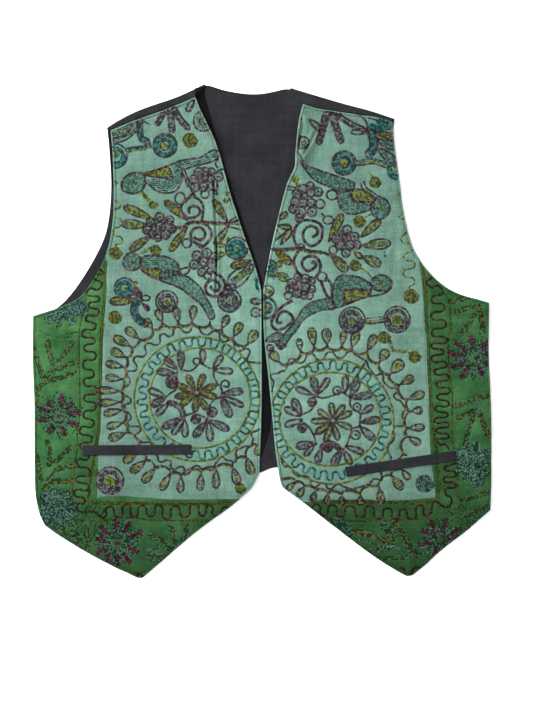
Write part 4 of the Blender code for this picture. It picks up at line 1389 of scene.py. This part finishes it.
# ---------------------------------------------------------------------------------------------
# The fields above the medallions: birds with long tails, bunches of berries on curling vines,
# leaves and round flowers, in the same chain stitch.
# ---------------------------------------------------------------------------------------------
# Each field's chart. An entry is a kind of motif, its threads, then its numbers
FIELDS = {
    "right": """
    leaves plum grey 194 100 187 111.5 6 line plum 196 99 191 108
    wheels plum bird olive 203.5 121.5 10 2.8
    band plum dusk 5.6 168.5 106 162 116 156.5 125 band plum dusk 6.6 170 108 171 119 172 131.5
    band plum dusk 6 173.5 108 180 119 189 129
    coil bronze 190 140 7.6 0.3
    line plum 143 117 144 121 149.5 124.5
    band plum teal 6 140 119.5 140 133 142 139 149 141.5
    line plum 137 122 137 129 131 136 123 141 112 143.5
    line grey 135.2 123 134.5 129.5 128.5 135 121 138.5 112 141
    line plum 132.5 125 130 130 124 135.5 112 138.8 line olive 131 124 128 129.5 121 133.5 112 136
    line olive 129.5 124 126 128 120 131.5 112 134 line grey 127 125 121 129 112 132
    line grey 125 124.5 119 127.5 112 130
    line plum 112 127.5 119 125.5 126 122.5
    patch bird 25 112 133 123 127.5 134 122 134 129 127 136 118 140 112 142
    coil teal 115 156 10.5 5.5 ring plum 115 156 12.2 coil bronze 115 153 4.6 0.3
    line teal 126 150.5 131 149.5 141 148.6 150.5 145.5
    line olive 127 152.5 133 151 142 150 151 147.5
    line plum 126 148.5 133 147.5 143 146 150 143.5
    ring plum 165 145.5 11.8 ring teal 165 145.5 9.8
    coil teal 165 145.5 8.4 6.4 ring plum 165 145.5 4.9 coil olive 165 145.5 3.4 0.3
    coil bronze 113 183 4.2 0.3
    shape plum bird 20 142.7 173.6 132 173 124.5 177.7 121.4 184.5 123 190.5 131.4 193.6 140.5 191.4
        144 187 145 182.7
    coil olive 134.5 182.7 2.6 0.3
    loop plum 145 176 152 172 161 168.5 170 165 180 161 190 159 200.5 157.5 208 153 214 150.5 218.5
        152 218.5 157 212 161.5 203 164 194 166 186 169 181.5 171.5 182 179 179 187 173 192 164 193
        155 190 149.5 185 145 182
    patch bird 8 147 179.5 158 179.5 172 178 173.5 171 180 172 180.5 180 177 186 171 190 163 191 155
        188 150 184
    patch bird -14 172 166.5 182 162.5 192 160.5 202 159 209 154.5 216 152 217 156 210 160 200 163
        190 166 181 169.5 174 171
    shape plum olive -8 142.3 174 152 171.4 164 167.7 168.6 167.7 171.4 174 171.8 176.8 159.5 177.7
        150.5 176
    line plum 181 170.5 185 178.6 187 186.8 line plum 184.5 170 187.5 178 188.8 186
    line plum 217 160 215.5 164 217.5 167.5
    berries plum mauve 198.6 172 4.8 205 172 4.8 211.4 172 4.3 218.6 177 4.8 193.6 179.5 4.8 205 178
        4.2 195 187 5 203 187 5 213 186 5 211 179 4.4 199.5 180 4.4 berries plum none 205 194 4.6
    line plum 224 169 219 170.5 215 173 line plum 192 191 195 195 line plum 216 189 216.5 194
    ring plum 180 198.5 5 6
    vine plum 193 193.5 187 200 181.7 204.5 181 210 184 215 189.5 217.8 196 216.7 200 212 198.3
        207.8 193.3 206 189 208.3 189 212.8
    vine plum 192.8 196.7 199.4 200 203.3 206.7 202.8 214.5 201.7 221
    vine plum 171.7 227.8 181.7 227 187 224 189.4 222 200.5 222 216 222.8 229.4 223.3 240 219.5
    line olive 171.7 229.5 182 228.8 188 225.5 191 223.8 200.5 223.8 216 224.5 229 225
    line plum 226 226 240 229.5 line olive 230 224 240 224.5 line plum 230 221 238 216
    leaves plum olive 187 220 165 201 7.5 187 227 170 251 7 227.5 222 213.5 200 7 228.5 226 214.5
        245 6
    coil olive 228 193.5 2.6 0.3 coil olive 225.5 200.5 2.6 0.3 coil olive 230 199 2 0.3
    coil olive 228 239 2.4 0.3
    leaves olive olive 226 246 216.5 244 5 leaves olive olive 227 253.5 217 255 5
    berries plum dusk 159.5 217 4.6 169.5 220 4.6 171.7 229 4.6 165.5 234.5 5 157.8 238 4 152.8
        234.5 4.6 147 230 4.6 150.5 222 4.6 160.5 227 5.6 155 229 3.5 164.5 221.5 3.5
    leaves plum olive 153 219.5 124 206.5 8 148 225.5 122 223.5 9 150.5 236 130 250 8
    vine plum 200.5 222 208.3 226.7 211.7 234.5 208.3 242 201 247.8
    vine plum 201.7 246 192.8 241 190.5 234.5 194 229 200.5 227.8 205 232 204 237.8 199.4 240 194.4
        237.8
    ring plum 186.7 243.3 4.5 line plum 199 247 195 243
    berries plum mauve 196.7 255.5 4.8 206.7 253.3 5.2 194 264.5 4.8 201.7 272 4.4 215 257 4.6 211.7
        263.3 5.2 204 262 5 210 271 3.6 berries plum none 207.5 275.5 4.2
    loop plum 176.5 273 178 271 184 268 189.5 267.8 188 272.5 182.5 275 178.5 275
    shape plum bird 30 123 261.7 125.5 255.5 131.7 252.7 138 255.5 141 261.7 138 268.5 131.7 270.5
        125.5 268.5
    coil olive 131.5 262 2.6 0.3
    shape plum bird 0 140 259.5 142.8 256.7 155 255.5 167 257 175 261 178.5 265.5 178 272 170 277
        162 278 160.5 270 141.7 267
    shape plum bird 38 161 273 178 271.5 183 275 189.4 277.8 200.5 287.8 205 295.5 210.5 305.5 214.5
        317 210 319 202.8 306.7 193.9 299 182.8 290 171.7 284.5 160.5 280
    shape plum olive 10 141.7 268.3 150 269 160.5 270 161.5 275.5 157 278.3 150 276
    line plum 139.4 266.7 143.9 272 152.8 277.8 160.5 280
    coil bronze 153 204.5 4.3 0.3 band olive olive 3.4 141 192 149.5 201
    coil bronze 155.5 249.5 5.6 0.3
    line olive 140.5 254 149.5 250 line olive 141 251.5 149 248 coil bronze 115.5 252.8 6.5 0.3
    coil bronze 115 317 6.8 0.3 coil bronze 240 488 5.5 0.3
    wave olive 0.8 110 196 120.5 204.5 113 213 121.5 223 113 232 122.5 240.5 115 247
    discs plum teal olive 236.7 248.3 11 3 discs plum teal olive 124.5 288 10 3.2
    coil olive 134.5 282.5 2.6 0.3
    shape plum plum 60 131 290 137 288 142 295 139 299 134 295
    leaves plum olive 138 300 110 301.5 8
    band plum teal 7.5 141 297 135 305 134.5 313 139 320 148 325
    ring plum 145.5 298 4.5 2.6 leaves plum plum 143 304 149 310 4
    discs plum dusk olive 166.7 301.5 10.8 3.6
    leaves plum olive 252 260.5 231 266.5 7 leaves plum bird 255 264 228.5 285.5 15
    leaves olive olive 251 268.5 235 279.5 5
    patch teal 80 255 278 260 276 261.5 292 257 290 ring plum 231 287.5 5.4 3.2
    vine plum 214.4 272.8 220.5 276.7 225 283.3 224.4 289 220.5 294.5 213.9 296.7 207 293.3 205.5
        286.7 209.4 281 216 281 219.4 285.5 217 291 212.8 290 211 286.7
    discs plum dusk olive 229.4 300.5 11.4 2.8 leaves plum grey 263 302 251 301 6 264 313 251 312 9
    discs plum dusk olive 110 480.5 13.5 5.6""",
    "left": """
    band plum dusk 7 327 112 323 127 318.5 144 band plum dusk 7 331 112 336 127 341.5 143
    band plum dusk 6 333 111 343 119 355 126 371 133 leaves plum none 367 133 351 132 4.5
    line plum 357 115 364 119 367 125 366 131 coil teal 372 128 5.2 0.3
    patch teal 0 377 119 388 114 394 117 395 128 386 130 377 130 ring plum 387 122 7.5
    coil olive 388 121 3 0.3
    band plum teal 8.5 370.5 131 373.5 141 372.5 150 366.5 156
    leaves plum olive 374.5 132.3 397 138 6.2
    leaves plum bird 374.5 139 397 148 8 376 147 396 163 8.5
    coil plum 330.5 111.5 3 0.3
    berries plum mauve 303 143 6.4 leaves plum grey 309 119.5 321 130 6
    line plum 298 153 301 157 303 161
    ring plum 344 163 11.8 ring teal 344 163 9.8 coil teal 344 163 8.4 6.6 ring plum 344 163 5
    coil olive 344 163 3.5 0.3
    line olive 356 163.5 364 162 372 161 388 165 line plum 356 165.5 365 164.5 373 163.5 386 167.5
    line teal 357 161 372 159 388 163
    coil slate 396 164 9.5 5 coil teal 396 170 9.5 5 coil olive 396 165 3.6 0.3
    coil bronze 375 182 6 0.3 line olive 372 176 369 172
    shape plum bird 22 300 161 306 165.5 320 170.5 340 177.5 354 183 352.5 190 337 191.5 330 187 316
        181 308 173
    shape plum bird 12 338 191 351 191 351 199 360 202 373 203 370 209 360 213 350 214 342 210 338
        202
    shape plum olive 22 352 191 357 189 366 192 375 199 366 202 352 199
    line plum 361 184 362 188 370 194 376 199 line plum 364 182 366 187.5 373 192.5 378.5 196.5
    shape plum bird 20 380 197 386.5 200.5 389.8 208 386.5 216 380 219 373.5 215.5 370.5 208 373.5
        200
    coil olive 379 207 2.6 0.3 line plum 371 205 374 209 ring plum 332 195 5.5 4.8
    berries plum mauve 310 186 4.4 303 189 4.8 318 192 4.8 311 193 4.4 297 194 5 295 202 4.8 293 209
        4.4 303 203 5 311 203 4.8 300 212 6 312 212 5 299 218 4.4 304 196 4
    berries plum none 320 204 5
    coil olive 295 178.5 3.9 0.3 coil olive 297.5 184.5 2.6 0.3
    line plum 287 186 296 188 298 191 line plum 286 189 293 190.5
    vine plum 313 237 317 234 317 229 311 226 305 229 303 236 305 242 311 246 318 243 322 236 321
        225 309 220 300 222 295 229 294 240 299 248
    ring plum 328 220 5.2 4 line plum 322 214 325 217
    vine plum 272 249 285 249 300 248 310 251 321 252 331 256 340 261 345 263
    line olive 273 251 285 251 300 250.5 310 253 321 254
    berries plum mauve 301 247 3.5
    leaves plum olive 278 226 291 228 5.5 281 244 291 229.5 6 279 253 291 264 7 277 220 287 213 5.5
    line olive 276 229 280 235 line plum 276 240 288 230 line plum 281 252 290 258 293 265
    leaves olive olive 275.5 252 285 258.5 6 276 268.5 281.5 261 5.5
    leaves olive olive 274 273.5 288 279 8
    patch teal 80 267 263 272 262 275 266 275 272 272 277 266 276
    line plum 270 260 274.5 262 276.5 267 276.5 273 273.5 278 coil olive 268 274 2.6 0.3
    discs plum none olive 268 291 5.5 3.6 wheels plum teal olive 266 308 10.5 4
    berries plum mauve 347 230 5 337 238 6 343 235 4.5 340 245 5 346 253 4.6 354 237 5 357 245 4.4
        350 245 5 347 238 4 berries plum none 333 250 4.4
    leaves plum olive 329 241 342 214 8 361 237 380 220 8 362 246 390 243 10 362 256 380 265 9.5 331
        254 347 271 9 354 252 362 258 5
    coil bronze 359 221 6.3 0.3 line olive 364 218 371 214 coil bronze 355 265 6 0.3
    line olive 361 268 368 273 372 279
    vine plum 312 263 313 261 315 262 316 265 313 269 307 271 303 267 302 262 305 258 311 256 317
        258 320 263 320 270 316 277 309 279
    vine plum 299 250 295 257 294 263 297 271 301 276
    berries plum mauve 298 277 4.4 305 279 5 292 283 5 290 289 4.6 297 286 5 297 293 5 305 287 5 304
        295 4.4 312 289 4 311 281 4.4 berries plum none 288 295.5 4.2 309 295.5 4.2
    ring plum 322 277 4.8 vine plum 321 281 325 292 330 300 vine plum 326 278 331 284 332 299
    shape plum bird 3 333 290 335 281 340 276 348 275.5 358 277 366 281 371 284 371 290 345 291 345
        303.5 335 307.5 332 299
    shape plum bird -40 331 299 335 308 322 310 312 314 303 320 297 329 291 336 287 342 284 346 277
        346 280 340 286 332 292 325 297 318 303 309 310 303 320 300
    shape plum olive -8 345 291 371 291 367 296 355 300 345 303
    shape plum bird 0 370.5 283 374 277.5 381 275 388 277.5 392 283 388 289 381 291 374 289
    coil olive 380.5 283 3 0.3 line plum 391 288 385 293 378 295 371 296 360 299 350 303 345 305
    berries plum mauve 281 346 3.6 line plum 276 344 281 348.5 286 346
    vine plum 281 323 277 322 278 316 283 311.5 289 313 293 319 287 326 278 330 272 326 272 320 276
        313 283 306 292 301
    leaves plum grey 265 341 282 335 8 berries plum mauve 270 348 3.6
    discs plum dusk olive 352 320 12.8 4.2 discs plum dusk olive 397 319.5 13 6
    line plum 364 323 372 323.5 385 321.5 line olive 364 320.5 372 321 385 318.5
    line grey 365 318.5 384 316.5
    coil bronze 411 296 7.6 0.3 coil bronze 384 337 6.2 0.3 coil bronze 414.5 356.5 6.2 0.3
    line olive 390 339 392 345 394 350 406 351 411 354
    line olive 389 341.5 390.5 347 393 351.5 405 352.5
    coil pine 424.5 483 9.5 0.3 coil slate 424.5 483 8.9 1.2 coil pine 424.5 483 8.2 0.7
    line plum 384 252 385 256
    coil olive 401 195 3.5 0.3 wave olive 0.7 405 211 399 216.5 406 221
    wave olive 0.8 409.5 229 400.5 238 412.5 248.5 403.5 257 415 264.5 403 273.5 414.5 281
        409 289.5""",
}
for side in ("right", "left"):
    work = {}
    follow(work, FIELDS[side])
    embroider("field", side, work, seed=23)

# ---------------------------------------------------------------------------------------------
# The borders: a full wavy line between two straight ones runs down the side and along the hem.
# Outside it are daisies, feathery sprays and a blue flower, worked in darker threads.
# ---------------------------------------------------------------------------------------------
# Each border's chart. An entry is a kind of motif, its threads, then its numbers
BORDERS = {
    "right": """
    wave wine 1.1 99 269 103 272 95 277 102 285 86 293 99.5 299 88.5 305 99 312 85.5 319 96 325.5 82
        334 95 341 84 347.5 96 356 83 364 94 375 83.5 381 97 391 84 398 96 406 83.5 415 94 423 79.5
        431 92 439 80 446 90 452 89 457 76.5 462 90 473 76 479 89 487 74 493 85 501 77 506
    line wine 77 506 78 510.5 84 512.5 90 511.5 96 512.5 99 516
    wave wine 1.1 96 513 102 518 110 506.5 118 517 127 504 134 517 142 505.5 151 516.5 158.5 505
        166.5 519 175 506 184.5 517 195 504 202.5 516 209.5 504.5 215.5 517
    line wine 221 511 223 508 226 507 231 508
    line moss 105 262 104 275 104 290 103 305 101 320 100 340 99.5 380 98.5 415 97 435 95.5 444 93
        458 90.5 475 87.5 500
    line moss 107 262 106 275 106 290 105 305 103 320 102 340 101.5 380 100.5 415 99 435 97.5 444
        94.8 458 92.1 475 89 500
    line moss 87 290 85 302 82 318 79.5 330 79 350 79.5 380 80 405 79 420 77 433 78 442 77 452 74
        465 73 480 72 500
    line moss 86 501 105 502 140 502.5 180 503.5 235 502
    line moss 88 503 105 504 140 504 180 505 232 503.7
    line moss 70 519 95 521 130 517.5 150 520 208 521
    daisy pine berry 58.5 416.5 10 5.8 62.5 394 73.2 402 81 412.2 79 425.8 65.2 435.5 48.4 433 37.2
        421.1 39 407.4 47 401.4
    coil berry 58.8 415.6 2.4 0.2 line berry 51.5 417.5 54 420.5 58 422.2 62.5 421 65 417.5
    line pine 43 397 51 400 57 406 line pine 70 398 66 404 line pine 37 415 46 416
    line pine 42 428 50 430 56 428
    line pine 57 432 61 440 line pine 75 430 70 436 line pine 72 407 83 408
    line pine 52 405 54 396 59 391
    daisy pine berry 117 543 10.5 5.2 99.6 526 115.2 518.7 130.2 521 143.3 531.3 95 538.4 96.4 553.3
        105.4 561.4 117.1 566 130 563.6 139 552.3
    coil berry 117 543 2.7 0.2
    line pine 122 521 123 529 line pine 104 519 110 526 line pine 137 526 131 530
    line pine 136 543 131 541 line pine 101 545 95 545
    patch pine 30 41 494 52 490 64 493 73 503 77 515 72 526 60 528 48 523 41 510
    petals pine slate 55 504 42 493 9 57 503 55 488 9 60 504 69 492 9 62 508 76 504 9 61 511 73 520
        9 57 512 58 525 9 53 511 44 523 9 53 508 39 511 9
    petals pine slate 57 312 46 322 8.5 59.5 315 57.5 327 6 65 312 74 323.5 8.5 68 309 84 314 7.5
        66 310 55 316 6 70 306 85 303 7
    patch slate 20 50 312 84 301 88 312 62 318 patch pine -40 52 310 84 300 88 312 62 318
    band pine ochre 5 47 339 50 355 53 366 band pine ochre 4.6 73 342 66 352 57 362
    band pine ochre 5 79 361 68 365 54 371 44 377
    band pine ochre 4.6 75 372 60 378 47 381 40 387 37 395 36 408
    band pine ochre 5 34 348 38 362 43 378 band pine ochre 4.6 47 441 50 452 49 466
    band pine ochre 4.6 71 447 63 455 54 463
    band pine ochre 4.6 78 465 68 467 58 469 52 474 47 482 band pine ochre 4.6 36 453 39 468 42 482
    band pine ochre 5.5 43 490 52 482 62 481 74 481 band pine ochre 4.6 56 527 64 531 73 537
    band pine ochre 4.6 75 524 77 542 band pine ochre 4.6 86 523 88 550
    band pine ochre 5 67 517 76 523
    band pine ochre 4.6 150 535 160 540 172 548 band pine ochre 4.6 170 526 174 534 176 545
    band pine ochre 4.6 186 524 186 540
    line pine 147 550 165 548 line pine 158 545 172 552 line pine 150 560 164 561
    line pine 180 532 181 541 line pine 81 526 82 545
    band pine ochre 4.6 148 556 169 556 line leaf 40 331 52 336 64 337.5 72 336
    line leaf 66 334 78 332 90 333 coil pine 71.5 337 1 0.2 coil pine 78.3 332 1 0.2
    coil pine 78.8 336.6 1 0.2
    line leaf 71 531 80 518 88 506 line leaf 74 533 83 520 92 506 line leaf 77 536 87 521 96 506
    line leaf 80 540 91 523 100 507
    line leaf 84 544 94 527 104 510 line leaf 90 541 98 527 106 514 line leaf 70 524 78 514
    line moss 118 571 132 573 146 571 line wine 136 577 139 573.5 143 577""",
    "left": """
    wave wine 1.1 431 278 426 282 443 291 431 299.5 444.5 307.5 431 316 446 324 431.5 333 447 340.5
        431 346 444 352 431 358 447 365.5 434 371 449 378 436 384 450 391 437 397 449 403.5 435 409
        448 415 434 420 449 425.5 436 430 449 437 436 440 449 449
    wave wine 1.1 456 463 444 467 456 475 443 479 456 486 445 490 452 502
    line wine 451 503 449 507 442 506 438 502 434 501 432.5 505 431 511
    wave wine 1.1 432 512 427 516 420 505 412 519 402 509 397 519 387 508 379 519 369 506 361 517
        349 506 341 517 332 505 324 516 316 504 311 508
    line moss 420 262 423 280 425 300 425 320 427 340 428 370 430 400 431 420 435 445 436 465 438
        480 437 497
    line moss 422 262 425 280 427 300 427 320 429 340 430 370 432 400 433 420 436.5 445 438 465 440
        480 439 499
    line moss 443 292 448 298 450 310 451 330 448 345 449 365 452 390 452 430 454 448 457 470 459
        500 457 521
    line moss 437 501 420 502 380 501 310 500 line moss 437 503 420 504 380 503 312 502
    line moss 458 521 420 519 380 521 334 521
    daisy pine berry 474.5 357.5 9.2 5.6 470.3 335.4 454.4 341.8 447.4 353.3 450.2 368.2 461.4 377.8
        483.3 376.8 489.2 366 490 352.4 488.8 341
    coil berry 476.6 357.6 2.7 0.2 line pine 461 345 466 351 line pine 480 343 478 350
    line pine 455 360 463 361 line pine 472 372 473 380 line pine 464 335 460 341
    line pine 478 330 482 337
    daisy pine berry 440.5 540 8.5 5 429.3 520.2 447 518.6 461.4 527.5 455.5 539 434.5 555 418 545.8
        421 530.2
    line berry 440.5 535.6 443.5 536 446.3 534 449.5 535 453.5 537.5
    line berry 441.5 541.2 447.5 542
    line pine 399 556 412 555 425 553 433 551 line pine 436 527 441 526
    petals slate slate 469 461 456 450.5 6.4 471 458 465 443 6.4 474.5 458 476.5 442 6.4 477 460 489
        449 6.4 478 463 492 461 5.4 473 466 476 487 6.4 469 465 457 472 6.4 471 466 464 480 5.4
    petals pine pine 477 466 489 476 6.4 475 466 483 485 5
    petals slate slate 470 461.5 457 461.5 5.6 berries slate slate 473.5 462 4.2
    band pine ochre 4.6 449 302 459 300 469 296 band pine ochre 4.6 456 312 473 306
    band pine ochre 5 461 336 468 325 475 314
    band pine ochre 5.5 483 333 482 322 480 313 477 304 band pine ochre 5 451 407 470 402 489 395
    band pine ochre 4.6 457 418 466 415 476 409 band pine ochre 4.6 465 450 466 440 470 425 475 414
    band pine ochre 5.2 479 411 484 425 488 437
    band pine ochre 4.6 461 500 480 495 491 492 band pine ochre 4.6 464 516 480 510 489 504
    band pine ochre 5.4 350 532 362 533 375 537 389 543 line slate 353 538 370 543 386 547 398 545
    patch pine -35 328 518 343 519 353 530 350 539 338 531 coil pine 384.5 526 4.6 0.3
    band pine ochre 4.4 386 528 390 536 394 544
    line pine 378 520 382 522 line pine 392 546 399 549 line slate 389 524 397 536
    line pine 404 544 410 553
    band pine ochre 5.6 392 517 400 530 408 543 417 557 band pine ochre 4.4 368 551 380 550 391 549
    line moss 378 557 390 557 404 556 line pine 378 559.5 395 559.5 412 557
    line pine 454 292 466 288 line pine 470 522 478 519
    line leaf 440 506 452 518 464 530 line leaf 444 506 456 518 467 529
    line leaf 448 506 460 518 470 527
    line leaf 452 506 464 518 474 526 line leaf 456 505 468 516 478 523
    line leaf 461 505 471 514 481 521
    line wine 399 568 404 569 406 575 409 576 412 573 414 568 420 568""",
}


# In squares of the chart: how much narrower than a petal its solid part is, and how much wider
# its edge. Then a daisy's two inner rings as shares of where its petals start, the start and end
# of a speck as shares of their length, and how far apart the specks are and where that is counted
PETAL_INSIDE = 2.9
PETAL_OUTSIDE = 1.4
DAISY_RINGS = (0.5, 0.72)
SPECK = (0.32, 0.86)
SPECK_GAP = 3.4
SPECKS_COUNTED_AT = 0.62
BORDER_DRAW_DEPTH = 0.9 * MM


def petals(work, edge, inside, table):
    """Solid petals, each with a wider edge. Columns: base x, y, tip x, y, width."""
    for x0, y0, x1, y1, width in np.reshape(table, (-1, 5)):
        small = drop((x0, y0), (x1, y1), width - PETAL_INSIDE)
        loop(work, inside, small)
        fill(work, inside, small, slope((x0, y0), (x1, y1)))
        loop(work, edge, drop((x0, y0), (x1, y1), width + PETAL_OUTSIDE))


def daisy(work, edge, inside, table):
    """Petals round a middle with specks between them. Columns: x, y, petals' start, width, tips' x, y."""
    middle, start, width = np.array(table[:2]), table[2], table[3]
    tips = np.reshape(table[4:], (-1, 2)) - middle
    for share in DAISY_RINGS:
        ring(work, edge, [*middle, share * start])
    reach = np.linalg.norm(tips, axis=1)
    for tip, far in zip(tips, reach):
        petals(work, edge, inside, [*(middle + tip / far * start), *(middle + tip), width])
    angle = np.sort(np.arctan2(tips[:, 1], tips[:, 0]))
    for first, last in zip(angle, np.append(angle[1:], angle[0] + 2 * math.pi)):
        rows = max(1, round((last - first) * reach.mean() * SPECKS_COUNTED_AT / SPECK_GAP))
        for at in np.linspace(first, last, rows + 2)[1:-1]:
            out = np.array((math.cos(at), math.sin(at)))
            line(work, edge, middle + np.array(SPECK)[:, None] * reach.mean() * out)


KINDS.update(petals=petals, daisy=daisy)
for side in ("right", "left"):
    work = {}
    follow(work, BORDERS[side])
    embroider("border", side, work, seed=37, depth=BORDER_DRAW_DEPTH)

# ---------------------------------------------------------------------------------------------
# The seams: a running stitch holds the turned edge down round the neck, the opening, the
# armhole and the hem of each front.
# ---------------------------------------------------------------------------------------------
# One running stitch of length 1: rings of thread along it, each its place, height and radius
RUNNING = [(-0.5, -0.35, 0.10), (-0.28, 0.10, 0.24), (0.28, 0.10, 0.24), (0.5, -0.35, 0.10)]
THREADS["charcoal"] = ((0.008, 0.010, 0.010), (0.022, 0.028, 0.026), 0.3, 2.8, 2.4, 2.2, 1.6)
FEWEST_POINTS = 4
STITCHING_KEEPS_OFF = 0.9 * HEM_WIDTH


def running_stitch():
    """One straight stitch, dipping into the cloth at both ends."""
    mesh = bmesh.new()
    rings = [[mesh.verts.new((x, thick * math.cos(turn), z + thick * math.sin(turn)))
              for turn in np.radians((90, 210, 330))] for x, z, thick in RUNNING]
    for a, b in zip(rings, rings[1:]):
        for j in range(3):
            mesh.faces.new((a[j], b[j], b[(j + 1) % 3], a[(j + 1) % 3]))
    mesh.faces.new(rings[0][::-1])
    mesh.faces.new(rings[-1])
    return one_stitch("running_stitch", mesh)


thread_of["charcoal"] = thread_pair("charcoal")
running = running_stitch()
for side in ("right", "left"):
    paths = []
    for part in PARTS:
        panel = panels[f"front_{side}_{part}"]
        row = moved_in(panel["rim"], HEM_WIDTH)
        keep = ~panel["at_seam"] & (distance_to(panel["rim"], row) > STITCHING_KEEPS_OFF)
        first = int(np.argmin(keep))
        row, keep = np.roll(row, -first, axis=0), np.roll(keep, -first)
        turns = np.flatnonzero(np.diff(np.concatenate([[0], keep.astype(int), [0]])))
        for start, end in zip(turns[::2], turns[1::2]):
            if end - start > FEWEST_POINTS:
                paths.append(row[start:end] / SQUARE * (1, -1) + CHART_ORIGIN)
    sewn(f"edge_stitching_{side}", paths, "charcoal", side, running, seed=5)

# ---------------------------------------------------------------------------------------------
# The studio: a pale floor, soft daylight from the upper left, and a camera straight above.
# ---------------------------------------------------------------------------------------------
FLOOR_HALF = 4
FLOOR_LEVEL = -0.2 * MM
FLOOR_PALE = (0.93, 0.93, 0.93, 1)
PAPER_ROUGHNESS = 0.9
ROOM_STRENGTH = 0.78
# Each light: its name, its place, its width in metres and its power in watts
LIGHTS = [("window", (-1.7, 1.2, 1.25), 1.4, 158), ("ceiling", (0.15, -0.55, 2.3), 2.0, 24)]
# The camera: its lens and sensor in mm, how many squares of the chart its view is high at the
# level of the cloth, and where the middle of its view is
LENS = 85
SENSOR = 36
VIEW_SQUARES = 711
VIEW_LEVEL = 3 * MM
VIEW_MIDDLE = (0.0054, -0.0295)

mesh = bpy.data.meshes.new("floor")
mesh.from_pydata([(x * FLOOR_HALF, y * FLOOR_HALF, 0) for x, y in ((-1, -1), (1, -1), (1, 1), (-1, 1))],
                 [], [(0, 1, 2, 3)])
floor = placed("floor", mesh)
floor.location.z = FLOOR_LEVEL
paper = bpy.data.materials.new("pale_floor")
paper.use_nodes = True
paper.node_tree.nodes["Principled BSDF"].inputs["Base Color"].default_value = FLOOR_PALE
paper.node_tree.nodes["Principled BSDF"].inputs["Roughness"].default_value = PAPER_ROUGHNESS
floor.data.materials.append(paper)

world = bpy.data.worlds.new("soft_room")
bpy.context.scene.world = world
world.use_nodes = True
world.node_tree.nodes["Background"].inputs["Color"].default_value = (1, 1, 1, 1)
world.node_tree.nodes["Background"].inputs["Strength"].default_value = ROOM_STRENGTH

for name, place, width, power in LIGHTS:
    light = bpy.data.lights.new(name, "AREA")
    light.shape = "SQUARE"
    light.size = width
    light.energy = power
    lamp = placed(name, light)
    lamp.location = place
    lamp.rotation_euler = (-Vector(place)).to_track_quat("-Z", "Y").to_euler()

view = bpy.data.cameras.new("camera")
view.lens = LENS
view.sensor_fit = "VERTICAL"
view.sensor_height = SENSOR
camera = placed("camera", view)
camera.location = (*VIEW_MIDDLE, VIEW_LEVEL + VIEW_SQUARES * SQUARE / SENSOR * LENS)
bpy.context.scene.camera = camera
bpy.context.scene.view_settings.view_transform = "Standard"
